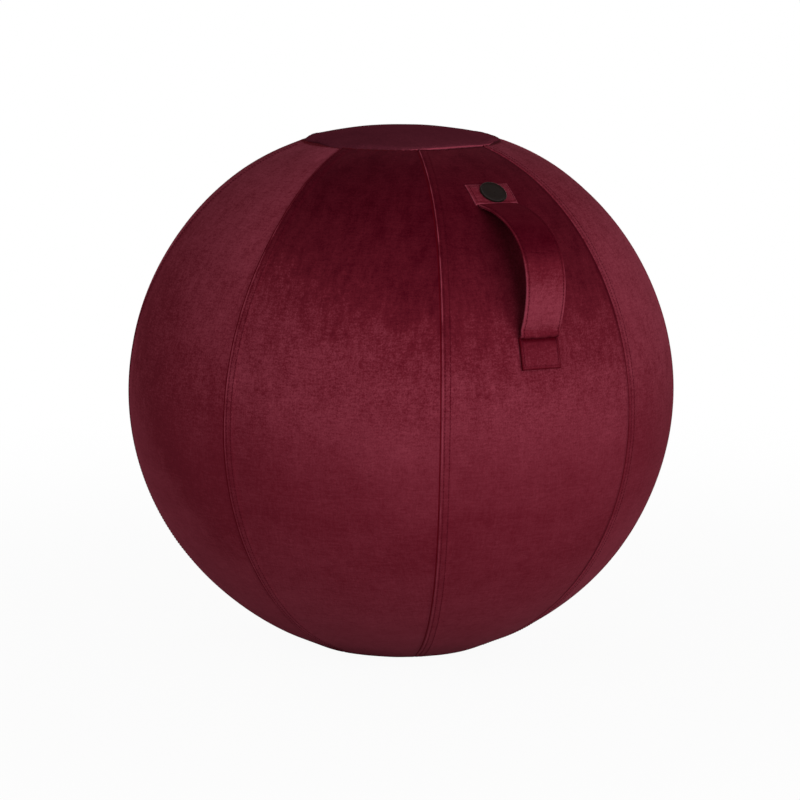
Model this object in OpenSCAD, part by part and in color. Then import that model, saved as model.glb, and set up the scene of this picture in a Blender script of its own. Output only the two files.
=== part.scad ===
// Sitting ball: an inflated ball in a sewn velvet cover with a carry strap, standing on a weighted foot.
// Origin: centre of the foot on the floor. +Z is up and the carry strap faces -Y.

/* [Ball] */
// Widest diameter, measured over the cover
ball_d = 650; // [550:1:750]
// Height that the covered ball would have if its top and foot were not flattened
ball_h = 642; // [545:1:740]
// How far the foot is pressed up into that height
foot_sink = 18; // [14:1:24]
// Wall of the inflated skin
skin_t = 1; // [0.8:0.1:2]
// Air left between the cover's cloth and the skin
skin_gap = 1.1; // [0.9:0.1:2]

/* [Cover] */
// Number of sewn gores round the ball
gore_count = 8; // [8:1:8]
// Thickness of the velvet with its lining
cloth_t = 1.5; // [1:0.1:2]
// Width of the raised, twin-stitched band beside each seam
band_w = 12; // [8:0.5:16]
// How far that band stands proud of the gore
band_rise = 1.1; // [0.6:0.1:1.6]
// Width of the ditch between two gores at the girth
ditch_w = 0.6; // [0.4:0.1:1.2]

/* [Top disc] */
// Diameter of the seam round the top disc
disc_d = 234; // [200:1:260]
// How far the top disc presses the crown of the ball down
crown_drop = 6.8; // [5:0.1:9]
// Radius over which the crown is pressed down
crown_r = 200; // [170:1:230]
// Height of the disc's rolled edge over its seam
lip_h = 5; // [3:0.5:7]
// Radius of the rolled edge
lip_r = 8.5; // [6:0.5:12]
// Thickness of the disc's padded cloth
disc_t = 2; // [1.5:0.1:3]

/* [Foot] */
// Diameter of the foot's edge
foot_d = 225; // [200:1:250]
// Thickness of the foot's cloth
foot_t = 1.6; // [1.2:0.1:2.4]
// Width of the straight flank from the foot's edge to the curve of the ball
flank_w = 37.5; // [34:0.5:45]
// Inner diameter of the stabilising ring
ring_in_d = 156; // [120:1:170]
// Cloth of the ring's tube
ring_cloth_t = 0.6; // [0.4:0.1:0.8]

/* [Zip] */
// Length of one tooth and one space along a row
zip_pitch = 3.4; // [3.2:0.1:4]
// Distance of the zip's centre line from the foot's edge, up the flank
zip_up = 17; // [16:0.5:19]
// Width of the gap in the cover that shows the zip
zip_window = 15; // [14.5:0.5:17]
// Thickness of the zip's tapes
tape_t = 0.7; // [0.5:0.1:0.9]
// Thickness of a tooth
tooth_t = 2.5; // [2.2:0.1:2.8]
// Thickness of each wing of the slider
wing_t = 1.1; // [0.9:0.1:1.3]
// Length of the slider
slider_l = 14; // [12:0.5:16]
// Width of the wedge in the slider's mouth that parts the teeth
wedge_w = 2.4; // [1.8:0.1:3]
// Length of the pull from its pin to its tip
pull_l = 22; // [16:0.5:24]

/* [Strap] */
// Width of the carry strap
strap_w = 50; // [38:1:60]
// Thickness of the strap, sleeve and core together
strap_t = 3.4; // [3:0.1:4.4]
// Thickness of the webbing core
core_t = 1.4; // [1:0.1:1.8]
// Place of the strap's upper end, in degrees down from the top of the ball
strap_top_at = 41.4; // [38:0.2:43]
// Place of the strap's lower end, in degrees down from the top of the ball
strap_low_at = 71; // [68:0.2:73]
// Angle at which the strap runs askew, down and to the left
strap_slant = 2.2; // [0:0.2:5]
// How far the strap runs out before it turns down
strap_reach = 142; // [120:1:150]
// Slope at which it runs out, in degrees below level
strap_fall = 6; // [3:0.5:12]
// How far above its lower end it turns in to the ball
strap_hook = 24; // [18:1:32]
// Slope at which it turns in, in degrees above level
strap_hook_fall = 66; // [60:1:75]
// Height of the patch that covers the upper end
top_patch_h = 33; // [28:0.5:40]
// Height of the sewn lower end
low_patch_h = 36.5; // [30:0.5:44]
// Margin of the upper patch on each side of the strap
patch_margin = 2.6; // [2:0.1:5]
// Thickness of the patch cloth
patch_t = 1.1; // [0.8:0.1:1.5]
// Diameter of the badge
badge_d = 32; // [24:0.5:33]
// Thickness of the badge
badge_t = 2; // [1.5:0.1:3]

/* [Valve] */
// Diameter of the plug's shank
plug_d = 7.4; // [6:0.1:9]
// Length of the plug's shank
plug_l = 12; // [9:0.5:16]
// Diameter of the plug's head
plug_head_d = 15; // [13:0.5:17]
// Place of the valve, in degrees down from the top of the ball
valve_at = 145; // [138:0.5:147]

/* [Hidden] */
$fn = 96;

velvet = [0.42, 0.11, 0.18];
dark_velvet = [0.24, 0.06, 0.11];
lining = [0.30, 0.30, 0.32];
ball_grey = [0.62, 0.64, 0.66];
webbing = [0.12, 0.12, 0.13];
metal = [0.45, 0.45, 0.47];

// Running clearance between soft pieces, and between the slider and what it rides on
soft_gap = 0.3;
sewn_gap = 0.1;

ball_r = ball_d / 2;
ball_half_h = ball_h / 2;
girth_z = ball_half_h - foot_sink;
skin_in = cloth_t + skin_gap;
gore_angle = 360 / gore_count;
// The first gore carries the strap, so it is centred on -Y
first_seam = -90 - gore_angle / 2;
disc_r = disc_d / 2;
foot_r = foot_d / 2;

// A point of the covered ball's outline at t degrees from the top, off the cloth by off
function crown(r) = r < crown_r ? crown_drop * pow(1 - pow(r / crown_r, 2), 2) : 0;
function round_at(t, off) = let (r = (ball_r + off) * sin(t))
    [r, girth_z + (ball_half_h + off) * cos(t) - (t < 90 ? crown(r) : 0)];
function angle_of(r, off = 0) = asin(r / (ball_r + off));

// A line of [radius, height] points, moved off along its outward normals
function unit(v) = v / norm(v);
function along(line, i) = unit(line[min(i + 1, len(line) - 1)] - line[max(i - 1, 0)]);
function moved(line, off) = [
    for (i = [0:len(line) - 1]) let (d = along(line, i)) line[i] + off * [-d[1], d[0]]
];
function reversed(list) = [for (i = [len(list) - 1:-1:0]) list[i]];
function between(line, low, high) = concat(moved(line, high), reversed(moved(line, low)));

// The flank is a straight cone from the foot's edge to the curve of the ball
flank_top = round_at(180 - angle_of(foot_r + flank_w), 0);
flank_low = [foot_r, 0];
flank_dir = unit(flank_top - flank_low);
flank_angle = atan2(flank_dir[1], flank_dir[0]);
flank_out = [flank_dir[1], -flank_dir[0]];
function flank(s, n) = flank_low + s * flank_dir + n * flank_out;

// The outline of a gore from the top disc's seam to a distance up the flank
gore_steps = 30;
gore_top_at = angle_of(disc_r);
gore_low_at = 180 - angle_of(foot_r + flank_w);
function gore_line(low) = concat(
    [for (i = [0:gore_steps]) round_at(gore_top_at + (gore_low_at - gore_top_at) * i / gore_steps, 0)],
    [flank(low, 0)]
);

// The zip takes the place of the foot's seam under the four gores at the back
zip_first_gore = 3;
zip_gores = 4;
zip_start = first_seam + (zip_first_gore - 1) * gore_angle;
zip_angle = zip_gores * gore_angle;
zip_high = zip_up + zip_window / 2;
zip_low = zip_up - zip_window / 2;
foot_edge = 0.4;

module gore(number) {
    over_zip = number >= zip_first_gore && number < zip_first_gore + zip_gores;
    line = gore_line(over_zip ? zip_high : foot_edge);
    ditch_angle = ditch_w / ball_r * 180 / PI;
    rotate([0, 0, first_seam + (number - 1) * gore_angle + ditch_angle / 2]) {
        rotate_extrude(angle = gore_angle - ditch_angle)
            polygon(between(line, -cloth_t, 0));
        intersection() {
            rotate_extrude(angle = gore_angle - ditch_angle)
                polygon(between(line, -cloth_t, band_rise));
            cube([ball_d, band_w, ball_h]);
        }
    }
}
module gore_panel_1() { color(velvet) gore(1); }
module gore_panel_2() { color(velvet) gore(2); }
module gore_panel_3() { color(velvet) gore(3); }
module gore_panel_4() { color(velvet) gore(4); }
module gore_panel_5() { color(velvet) gore(5); }
module gore_panel_6() { color(velvet) gore(6); }
module gore_panel_7() { color(velvet) gore(7); }
module gore_panel_8() { color(velvet) gore(8); }

// The top disc is a shallow dome with a rolled edge that stands on the gores' seam
seam_z = round_at(gore_top_at, 0)[1];
crown_z = round_at(0, 0)[1];
lip_in_r = disc_r - soft_gap - lip_r;
dome_steps = 14;
function dome_z(r) = crown_z + soft_gap - (crown_z + soft_gap - seam_z - lip_h) * pow(r / lip_in_r, 2);
module top_disc() {
    dome = [for (i = [0:dome_steps]) let (r = lip_in_r * i / dome_steps) [r, dome_z(r)]];
    roll = [for (q = [15:15:90]) [lip_in_r + lip_r * sin(q), seam_z + lip_h * cos(q)]];
    under = [for (i = [dome_steps - 1:-1:0]) let (r = lip_in_r * i / dome_steps) [r, dome_z(r) - disc_t]];
    color(dark_velvet)
        rotate_extrude()
            polygon(concat(dome, roll, [[disc_r - soft_gap, seam_z - cloth_t]], under));
}

// The inflated skin: round where the gores hold it, and a shallow bowl over the foot
bowl_r = foot_r + flank_w + 10;
bowl_power = 3;
bowl_steps = 12;
bowl_floor = foot_t + soft_gap + 0.1;
bowl_at = 180 - angle_of(bowl_r, -skin_in);
bowl_rim_z = round_at(bowl_at, -skin_in)[1];
function bowl_z(r) = bowl_floor + (bowl_rim_z - bowl_floor) * pow(r / bowl_r, bowl_power);
skin_steps = 40;
skin_line = concat(
    [for (i = [0:skin_steps]) round_at(bowl_at * i / skin_steps, -skin_in)],
    [for (i = [bowl_steps - 1:-1:0]) let (r = bowl_r * i / bowl_steps) [r, bowl_z(r)]]
);
function skin_inside() = [
    for (i = [0:len(skin_line) - 1])
        let (p = moved(skin_line, -skin_t)[i])
        i == 0 ? [0, skin_line[0][1] - skin_t]
        : i == len(skin_line) - 1 ? [0, skin_line[i][1] + skin_t] : p
];

// The valve looks out over the middle of the zip, where the ball is filled with the zip open
valve_angle = zip_start + zip_angle / 2;
seat_d = plug_head_d + 7;
seat_flange_d = seat_d + 10;
seat_flange_t = 1.2;
module at_valve() {
    place = round_at(valve_at, -skin_in);
    rise = atan2(cos(valve_at) / (ball_half_h - skin_in), sin(valve_at) / (ball_r - skin_in));
    rotate([0, 0, valve_angle])
        translate([place[0], 0, place[1]])
            rotate([0, 90 - rise, 0])
                children();
}
module inner_ball() {
    color(ball_grey)
        difference() {
            rotate_extrude()
                polygon(concat(skin_line, reversed(skin_inside())));
            at_valve()
                translate([0, 0, -3 * skin_t])
                    cylinder(d = seat_d, h = 6 * skin_t);
        }
}

// Radius and height of a moulded valve seat: a flange inside the skin, a stem, and a recess for the plug's head
plug_head_t = 1.1;
plug_play = 0.1;
head_under = skin_gap / 2 + plug_head_t;
flange_top = skin_t + 2 * soft_gap;
stem_r = plug_d / 2 + 2.6;
seat_depth = plug_l + head_under + 1.5;
module valve_seat() {
    bore_r = plug_d / 2 + plug_play;
    recess_r = plug_head_d / 2 + soft_gap;
    color([0.85, 0.85, 0.82])
        at_valve()
            rotate_extrude()
                polygon([
                    [bore_r, -head_under],
                    [recess_r, -head_under],
                    [recess_r, -soft_gap],
                    [seat_d / 2 - soft_gap, -soft_gap],
                    [seat_d / 2 - soft_gap, -flange_top],
                    [seat_flange_d / 2, -flange_top],
                    [seat_flange_d / 2, -flange_top - seat_flange_t],
                    [stem_r, -flange_top - 2 * seat_flange_t],
                    [stem_r, -seat_depth],
                    [bore_r, -seat_depth]
                ]);
}
module valve_plug() {
    head_low = -head_under + sewn_gap;
    point = 1.2;
    color([0.9, 0.9, 0.88])
        at_valve()
            rotate_extrude()
                polygon([
                    [0, head_low + plug_head_t],
                    [plug_head_d / 2 - 0.5, head_low + plug_head_t],
                    [plug_head_d / 2, head_low + plug_head_t - 0.4],
                    [plug_head_d / 2, head_low],
                    [plug_d / 2, head_low],
                    [plug_d / 2, head_low - plug_l + point],
                    [plug_d / 2 - point, head_low - plug_l],
                    [0, head_low - plug_l]
                ]);
}

// The foot: a flat cloth with a strip that turns up the flank to the zip
module foot_disc() {
    color(dark_velvet) {
        cylinder(r = foot_r - foot_t / 2, h = foot_t);
        rotate([0, 0, zip_start])
            rotate_extrude(angle = zip_angle)
                polygon([
                    [foot_r - 2 * foot_t, 0],
                    flank(foot_edge, 0),
                    flank(zip_low, 0),
                    flank(zip_low, -cloth_t),
                    flank(foot_t, -cloth_t),
                    [foot_r - 2 * foot_t, foot_t]
                ]);
    }
}

// The stabilising ring fills the wedge between the foot's cloth and the bowl of the skin
ring_in_r = ring_in_d / 2;
ring_out_r = foot_r - 2;
ring_steps = 8;
ring_floor = foot_t + soft_gap / 2;
function ring_outline(inset) = let (low = ring_in_r + inset, high = ring_out_r - inset, bend = 1.2) concat(
    [[low, ring_floor + inset], [high - bend, ring_floor + inset], [high, ring_floor + inset + bend]],
    [for (i = [ring_steps:-1:0]) let (r = low + (high - low) * i / ring_steps) [r, bowl_z(r) - soft_gap - inset]]
);
module ring_tube() {
    color(webbing)
        rotate_extrude()
            difference() {
                polygon(ring_outline(0));
                polygon(ring_outline(ring_cloth_t));
            }
}
module ring_filling() {
    color([0.76, 0.68, 0.52])
        rotate_extrude()
            polygon(ring_outline(ring_cloth_t + sewn_gap / 2));
}

// Depths of the zip's parts under the outside of the cover
tape_high = -cloth_t - sewn_gap;
tape_mid = tape_high - tape_t / 2;
tooth_high = tape_mid + tooth_t / 2;
tooth_low = tape_mid - tooth_t / 2;
// Half the gap between the two tapes, and how wide each tape is
tape_edge = 1.5;
tape_sewn = 7;
module tape(from, to) {
    rotate([0, 0, zip_start])
        rotate_extrude(angle = zip_angle)
            polygon([
                flank(from, tape_high),
                flank(to, tape_high),
                flank(to, tape_high - tape_t),
                flank(from, tape_high - tape_t)
            ]);
}
module zip_tape_gores() { color(webbing) tape(zip_up + tape_edge, zip_high + tape_sewn); }
module zip_tape_foot() { color(webbing) tape(zip_low - tape_sewn / 2, zip_up - tape_edge); }

// A place on the zip: x runs along it, y up the flank and z out of the cover
zip_centre = flank(zip_up, 0);
module at_zip(angle) {
    rotate([0, 0, angle])
        translate([zip_centre[0], 0, zip_centre[1]])
            rotate([0, 0, 90])
                rotate([180 - flank_angle, 0, 0])
                    children();
}

// A moulded tooth: a block clamped on the tape, a neck, and a head that locks behind two necks of the other row
block_w = 0.56 * zip_pitch;
neck_w = 0.26 * zip_pitch;
head_w = 0.50 * zip_pitch;
block_from = 1.2;
block_to = 3.4;
head_from = 0.05;
head_to = 1.0;
module tooth(side) {
    difference() {
        translate([0, 0, tooth_low])
            linear_extrude(tooth_t)
                polygon([
                    [-block_w / 2, -side * block_to],
                    [block_w / 2, -side * block_to],
                    [block_w / 2, -side * block_from],
                    [neck_w / 2, -side * block_from],
                    [neck_w / 2, side * head_from],
                    [head_w / 2, side * head_from],
                    [head_w / 2, side * head_to],
                    [-head_w / 2, side * head_to],
                    [-head_w / 2, side * head_from],
                    [-neck_w / 2, side * head_from],
                    [-neck_w / 2, -side * block_from],
                    [-block_w / 2, -side * block_from]
                ]);
        translate([-zip_pitch, side > 0 ? -block_to - 1 : tape_edge - sewn_gap, tape_mid - tape_t / 2 - sewn_gap])
            cube([2 * zip_pitch, block_to - tape_edge + 1 + sewn_gap, tape_t + 2 * sewn_gap]);
    }
}

// The closed zip: both rows of teeth up to the slider, which stands at the far end against the top stops
pitch_angle = zip_pitch / zip_centre[0] * 180 / PI;
slider_angle = slider_l / zip_centre[0] * 180 / PI;
slider_at = zip_start + zip_angle - 1.2 * slider_angle;
teeth_from = zip_start + 3 * pitch_angle;
teeth_count = floor((slider_at - 0.1 * slider_angle - teeth_from) / pitch_angle);
module teeth(side, shift) {
    for (i = [0:teeth_count - 1])
        at_zip(teeth_from + (i + shift) * pitch_angle)
            tooth(side);
}
module zip_teeth_foot() { color(metal) teeth(1, 0); }
module zip_teeth_gores() { color(metal) teeth(-1, 0.5); }

// Stops clamp both tapes at the start of the zip, and each tape by itself at its end
stop_l = 2.6;
module stop_block(from, to, thick) {
    difference() {
        translate([-stop_l / 2, from, tape_mid - thick / 2])
            cube([stop_l, to - from, thick]);
        for (side = [-1, 1])
            translate([-stop_l, side > 0 ? tape_edge - sewn_gap : -block_to - 1, tape_mid - tape_t / 2 - sewn_gap])
                cube([2 * stop_l, block_to - tape_edge + 1 + sewn_gap, tape_t + 2 * sewn_gap]);
    }
}
module zip_bottom_stop() {
    color(metal)
        at_zip(teeth_from - 1.4 * pitch_angle)
            stop_block(-block_to, block_to, tooth_t);
}
module zip_top_stops() {
    color(metal)
        at_zip(slider_at + 0.5 * slider_angle + 0.8 * pitch_angle) {
            stop_block(-block_to, -0.8, tooth_t);
            stop_block(0.8, block_to, tooth_t);
        }
}

// The slider: two wings that narrow from the mouth to the tail, held apart by a wedge, with guiding edges
wing_high = tooth_high + soft_gap;
wing_low = tooth_low - soft_gap;
edge_w = 0.8;
tail_w = 2 * (block_to + 1.6 * soft_gap + edge_w);
mouth_w = tail_w + wedge_w;
edge_gap = tape_t / 2 + soft_gap;
bridge_w = 2;
bridge_t = 1;
bridge_l = 9;
pin_d = 1.3;
bridge_low = wing_high + wing_t + pin_d + 0.4;
wedge_from = 0.1 * slider_l;
module wing_outline() {
    polygon([
        [-slider_l / 2, -tail_w / 2],
        [0, -tail_w / 2],
        [0.3 * slider_l, -mouth_w / 2],
        [slider_l / 2, -mouth_w / 2],
        [slider_l / 2, mouth_w / 2],
        [0.3 * slider_l, mouth_w / 2],
        [0, tail_w / 2],
        [-slider_l / 2, tail_w / 2]
    ]);
}
module wing_edges() {
    difference() {
        wing_outline();
        polygon([
            [-slider_l, -tail_w / 2 + edge_w],
            [0, -tail_w / 2 + edge_w],
            [0.3 * slider_l, -mouth_w / 2 + edge_w],
            [slider_l, -mouth_w / 2 + edge_w],
            [slider_l, mouth_w / 2 - edge_w],
            [0.3 * slider_l, mouth_w / 2 - edge_w],
            [0, tail_w / 2 - edge_w],
            [-slider_l, tail_w / 2 - edge_w]
        ]);
    }
}
module zip_slider() {
    color(metal)
        at_zip(slider_at) {
            translate([0, 0, wing_high])
                linear_extrude(wing_t) wing_outline();
            translate([0, 0, wing_low - wing_t])
                linear_extrude(wing_t) wing_outline();
            translate([0, 0, tape_mid + edge_gap])
                linear_extrude(wing_high - tape_mid - edge_gap) wing_edges();
            translate([0, 0, wing_low])
                linear_extrude(tape_mid - edge_gap - wing_low) wing_edges();
            translate([0, 0, wing_low])
                linear_extrude(wing_high - wing_low)
                    polygon([
                        [wedge_from, 0],
                        [0.3 * slider_l, 0.4 * wedge_w],
                        [slider_l / 2, wedge_w / 2],
                        [slider_l / 2, -wedge_w / 2],
                        [0.3 * slider_l, -0.4 * wedge_w]
                    ]);
            translate([-bridge_l / 2, -bridge_w / 2, bridge_low])
                cube([bridge_l, bridge_w, bridge_t]);
            for (end = [-1, 1])
                translate([end > 0 ? bridge_l / 2 - bridge_t : -bridge_l / 2, -bridge_w / 2, wing_high + wing_t])
                    cube([bridge_t, bridge_w, bridge_low - wing_high - wing_t]);
        }
}

// The pull: a pin under the bridge, two arms beside it, and a tab that leans down until its tip nears the floor
pull_w = 6.5;
pull_t = 1.2;
arm_in = bridge_w / 2 + 0.4;
pin_z = wing_high + wing_t + pin_d / 2 + 0.2;
pin_height = zip_centre[1] - pin_z * cos(flank_angle);
tip_clear = 0.3;
pull_edge = (pull_w * sin(flank_angle) + pull_t * cos(flank_angle)) / 2;
pull_lean = asin((pin_height - tip_clear - pull_edge) / (cos(flank_angle) * pull_l));
module zip_pull() {
    color(metal)
        at_zip(slider_at)
            translate([0, 0, pin_z])
                rotate([0, pull_lean, 0]) {
                    rotate([90, 0, 0])
                        cylinder(d = pin_d, h = pull_w, center = true, $fn = 24);
                    for (side = [-1, 1])
                        translate([-bridge_l / 2 - 3, side > 0 ? arm_in : -pull_w / 2, -pull_t / 2])
                            cube([bridge_l / 2 + 3, pull_w / 2 - arm_in, pull_t]);
                    difference() {
                        union() {
                            translate([-pull_l + pull_w / 2, -pull_w / 2, -pull_t / 2])
                                cube([pull_l - pull_w / 2 - bridge_l / 2 - 1.6, pull_w, pull_t]);
                            translate([-pull_l + pull_w / 2, 0, -pull_t / 2])
                                cylinder(d = pull_w, h = pull_t);
                        }
                        translate([-pull_l + pull_w / 2, 0, -pull_t])
                            cylinder(d = 0.46 * pull_w, h = 2 * pull_t);
                    }
                }
}

// A place on the cover's front at t degrees from the top: x to the right, y up the ball and z out of it
function rise_at(t) = atan2(cos(t) / ball_half_h, sin(t) / ball_r);
module at_front(t) {
    place = round_at(t, 0);
    translate([0, -place[0], place[1]])
        rotate([90 - rise_at(t), 0, 0])
            children();
}
function degrees_for(length, t) = length * 180 / PI / norm([ball_r * cos(t), ball_half_h * sin(t)]);

// A curved sheet on the strap's gore, low to high off the cloth, cut to w by h round the place at t degrees
sheet_turn = 30;
module sheet(t, w, h, low, high) {
    intersection() {
        rotate([0, 0, -90 - sheet_turn / 2])
            rotate_extrude(angle = sheet_turn)
                polygon(between(gore_line(foot_edge), low, high));
        at_front(t)
            translate([-w / 2, -h / 2, -20])
                cube([w, h, 40]);
    }
}

// The strap's centre line is one smooth curve between its two sewn ends
strap_steps = 28;
strap_a = round_at(strap_top_at, strap_t / 2 + soft_gap);
strap_b = round_at(strap_low_at, strap_t / 2 + soft_gap);
strap_pull_a = strap_a + strap_reach * [cos(strap_fall), -sin(strap_fall)];
strap_pull_b = strap_b + strap_hook * [cos(strap_hook_fall), sin(strap_hook_fall)];
function strap_at(u) = pow(1 - u, 3) * strap_a + 3 * pow(1 - u, 2) * u * strap_pull_a
    + 3 * (1 - u) * u * u * strap_pull_b + u * u * u * strap_b;
strap_line = [for (i = [0:strap_steps]) strap_at(i / strap_steps)];
chord = unit(strap_b - strap_a);
chord_l = norm(strap_b - strap_a);
chord_angle = atan2(chord[1], chord[0]);

// The grip swings on the chord, and the sewn ends stay: cuts across the chord part them
grip_from = 0.18 * chord_l;
grip_to = 0.85 * chord_l;
module strap_band(thick, from, to) {
    intersection() {
        polygon(between(strap_line, -thick / 2, thick / 2));
        translate(strap_a)
            rotate(chord_angle)
                translate([from, -ball_r])
                    square([to - from, ball_d]);
    }
}
module upright(width) {
    rotate([90, 0, -90])
        linear_extrude(width, center = true)
            children();
}

// The upper patch lies just above the strap's upper end, and the strap's whole length is turned about it
patch_gap = 0.15;
patch_drop = 1.2;
sewn_overlap = 1;
top_patch_at = strap_top_at - degrees_for(top_patch_h / 2 + patch_drop, strap_top_at);
module askew() {
    place = round_at(top_patch_at, 0);
    translate([0, 0, girth_z])
        rotate(a = -strap_slant, v = [0, -place[0], place[1] - girth_z])
            translate([0, 0, -girth_z])
                children();
}
core_w = strap_w - 6;
module strap_grip() {
    color(velvet)
        askew()
            difference() {
                upright(strap_w) strap_band(strap_t, grip_from, grip_to);
                upright(core_w + 2 * sewn_gap) strap_band(core_t + 2 * sewn_gap, grip_from - 1, grip_to + 1);
            }
}
module strap_core() {
    color(webbing)
        askew()
            upright(core_w) strap_band(core_t, grip_from, grip_to);
}

// Under the upper patch the strap's end is pressed to half its thickness
tongue_t = strap_t / 2;
tongue_h = top_patch_h - 3;
tongue_at = strap_top_at - degrees_for(tongue_h / 2 - sewn_overlap, strap_top_at);
low_patch_at = strap_low_at + degrees_for(low_patch_h / 2 - sewn_overlap, strap_low_at);
low_patch_t = 0.85 * strap_t;
module strap_upper_end() {
    color(velvet)
        askew() {
            upright(strap_w) strap_band(strap_t, -strap_t, grip_from - soft_gap);
            sheet(tongue_at, strap_w, tongue_h, patch_gap, tongue_t);
        }
}
module strap_lower_end() {
    color(velvet)
        askew() {
            upright(strap_w) strap_band(strap_t, grip_to + soft_gap, chord_l + strap_t);
            sheet(low_patch_at, strap_w, low_patch_h, patch_gap, low_patch_t);
        }
}
module strap_upper_patch() {
    color(velvet)
        askew()
            difference() {
                sheet(top_patch_at, strap_w + 2 * patch_margin, top_patch_h, patch_gap,
                    tongue_t + patch_gap + patch_t);
                sheet(tongue_at, strap_w + 2 * sewn_gap, tongue_h + 2 * sewn_gap, -1, tongue_t + patch_gap);
            }
}
module badge() {
    bevel = 0.6;
    color([0.06, 0.06, 0.07])
        askew()
            at_front(top_patch_at)
                translate([0, 0, tongue_t + 2 * patch_gap + patch_t])
                    rotate_extrude()
                        polygon([
                            [0, 0],
                            [badge_d / 2, 0],
                            [badge_d / 2, badge_t - bevel],
                            [badge_d / 2 - bevel, badge_t],
                            [badge_d / 2 - 3 * bevel, badge_t],
                            [badge_d / 2 - 4 * bevel, badge_t - bevel / 2],
                            [0, badge_t - bevel / 2]
                        ]);
}

// Firm cloth behind the stitching of both ends, between the gore and the skin
backing_t = 0.5;
backing_margin = 5;
module backing(t, h) {
    askew()
        sheet(t, strap_w + 2 * backing_margin, h + 2 * backing_margin,
            -cloth_t - patch_gap - backing_t, -cloth_t - patch_gap);
}
module backing_upper() { color(webbing) backing(top_patch_at, top_patch_h); }
module backing_lower() { color(webbing) backing(low_patch_at, low_patch_h); }

gore_panel_1();
gore_panel_2();
gore_panel_3();
gore_panel_4();
gore_panel_5();
gore_panel_6();
gore_panel_7();
gore_panel_8();
top_disc();
foot_disc();
ring_tube();
ring_filling();
inner_ball();
valve_seat();
valve_plug();
zip_tape_gores();
zip_tape_foot();
zip_teeth_gores();
zip_teeth_foot();
zip_bottom_stop();
zip_top_stops();
zip_slider();
zip_pull();
strap_upper_end();
strap_lower_end();
strap_grip();
strap_core();
strap_upper_patch();
badge();
backing_upper();
backing_lower();
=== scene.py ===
# %% [markdown]
# # A sitting ball in burgundy velvet
# A sitting ball is an inflated skin inside a sewn cover. Eight tapering gores close round it, a padded
# disc finishes the crown, a flat foot stops it rolling, and a strap on one gore lifts it. The packed
# frame already holds every solid at its real size, so this file only dresses it: each cloth piece is
# built again as fine mesh in the same place, and the hard pieces keep their solids and get a finish.

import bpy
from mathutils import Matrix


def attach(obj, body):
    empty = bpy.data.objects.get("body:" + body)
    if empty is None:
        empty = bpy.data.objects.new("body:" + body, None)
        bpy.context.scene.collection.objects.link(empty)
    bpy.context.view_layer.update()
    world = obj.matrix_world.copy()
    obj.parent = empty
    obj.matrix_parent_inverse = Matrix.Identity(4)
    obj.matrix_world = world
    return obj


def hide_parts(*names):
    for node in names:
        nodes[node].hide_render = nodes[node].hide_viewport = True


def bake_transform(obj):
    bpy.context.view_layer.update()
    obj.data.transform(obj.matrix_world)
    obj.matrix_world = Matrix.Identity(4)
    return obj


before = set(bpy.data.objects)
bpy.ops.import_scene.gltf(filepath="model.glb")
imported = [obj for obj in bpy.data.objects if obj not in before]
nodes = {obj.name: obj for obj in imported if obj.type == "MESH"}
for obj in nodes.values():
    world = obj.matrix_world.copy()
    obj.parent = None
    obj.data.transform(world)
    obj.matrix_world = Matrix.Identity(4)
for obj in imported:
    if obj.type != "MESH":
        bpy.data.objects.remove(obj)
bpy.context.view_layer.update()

import math

import bpy
import numpy as np
from mathutils import Matrix, Vector

MM = 0.001

# %% [markdown]
# ## The camera
# The picture was taken with a long lens from about three and a half metres, a little above the ball's
# middle, so the foot and the crown both show only as narrow bands. Aiming the camera slightly below and
# beside the ball's centre puts the ball where the picture has it, with no lens shift.

# %% Camera
# The height of the ball's girth over the floor, in millimetres.
girth = 303.0
camera_azimuth = math.radians(-30.56)
camera_elevation = math.radians(10.33)
camera_distance = 3453 * MM
focal_px = 2879
picture_px = 800
sensor_mm = 36
centre_right_px = 1.1
centre_up_px = 12.35

toward_camera = np.array([
    math.sin(camera_azimuth) * math.cos(camera_elevation),
    -math.cos(camera_azimuth) * math.cos(camera_elevation),
    math.sin(camera_elevation),
])
camera_right = np.array([math.cos(camera_azimuth), math.sin(camera_azimuth), 0])
camera_up = np.cross(toward_camera, camera_right)
metres_per_px = camera_distance / focal_px

ball_centre = np.array([0, 0, girth * MM])
aim = ball_centre - metres_per_px * (centre_right_px * camera_right + centre_up_px * camera_up)
camera_place = ball_centre + camera_distance * toward_camera


def look_along(obj, place, target):
    """Stands obj at place, with its -Z axis towards target and its Y axis up."""
    obj.location = Vector(place)
    obj.rotation_euler = (Vector(target) - Vector(place)).to_track_quat("-Z", "Y").to_euler()


camera_data = bpy.data.cameras.new("camera")
camera_data.sensor_width = sensor_mm
camera_data.lens = sensor_mm * focal_px / picture_px
camera_data.clip_end = 60
camera = bpy.data.objects.new("camera", camera_data)
bpy.context.scene.collection.objects.link(camera)
look_along(camera, camera_place, aim)
bpy.context.scene.camera = camera
print("lens:", round(camera_data.lens, 1), "mm, camera at", camera_place.round(3))

# %% [markdown]
# ## Floor and light
# The picture has a pure white ground and a light that comes softly from both sides, with little from
# above: the crown stays dark and the flanks glow. A low lamp in front fills the lower half, and two low
# ones behind light the back. The floor and the world are white only to the camera and to what reflects,
# so that they add no glare to the cloth, and the floor still takes a soft shadow.

# %% Stage
SCENE = bpy.context.scene.collection


def new_material(name):
    """An empty node material with its output, ready to be filled."""
    material = bpy.data.materials.new(name)
    material.use_nodes = True
    material.node_tree.nodes.clear()
    return material


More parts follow.
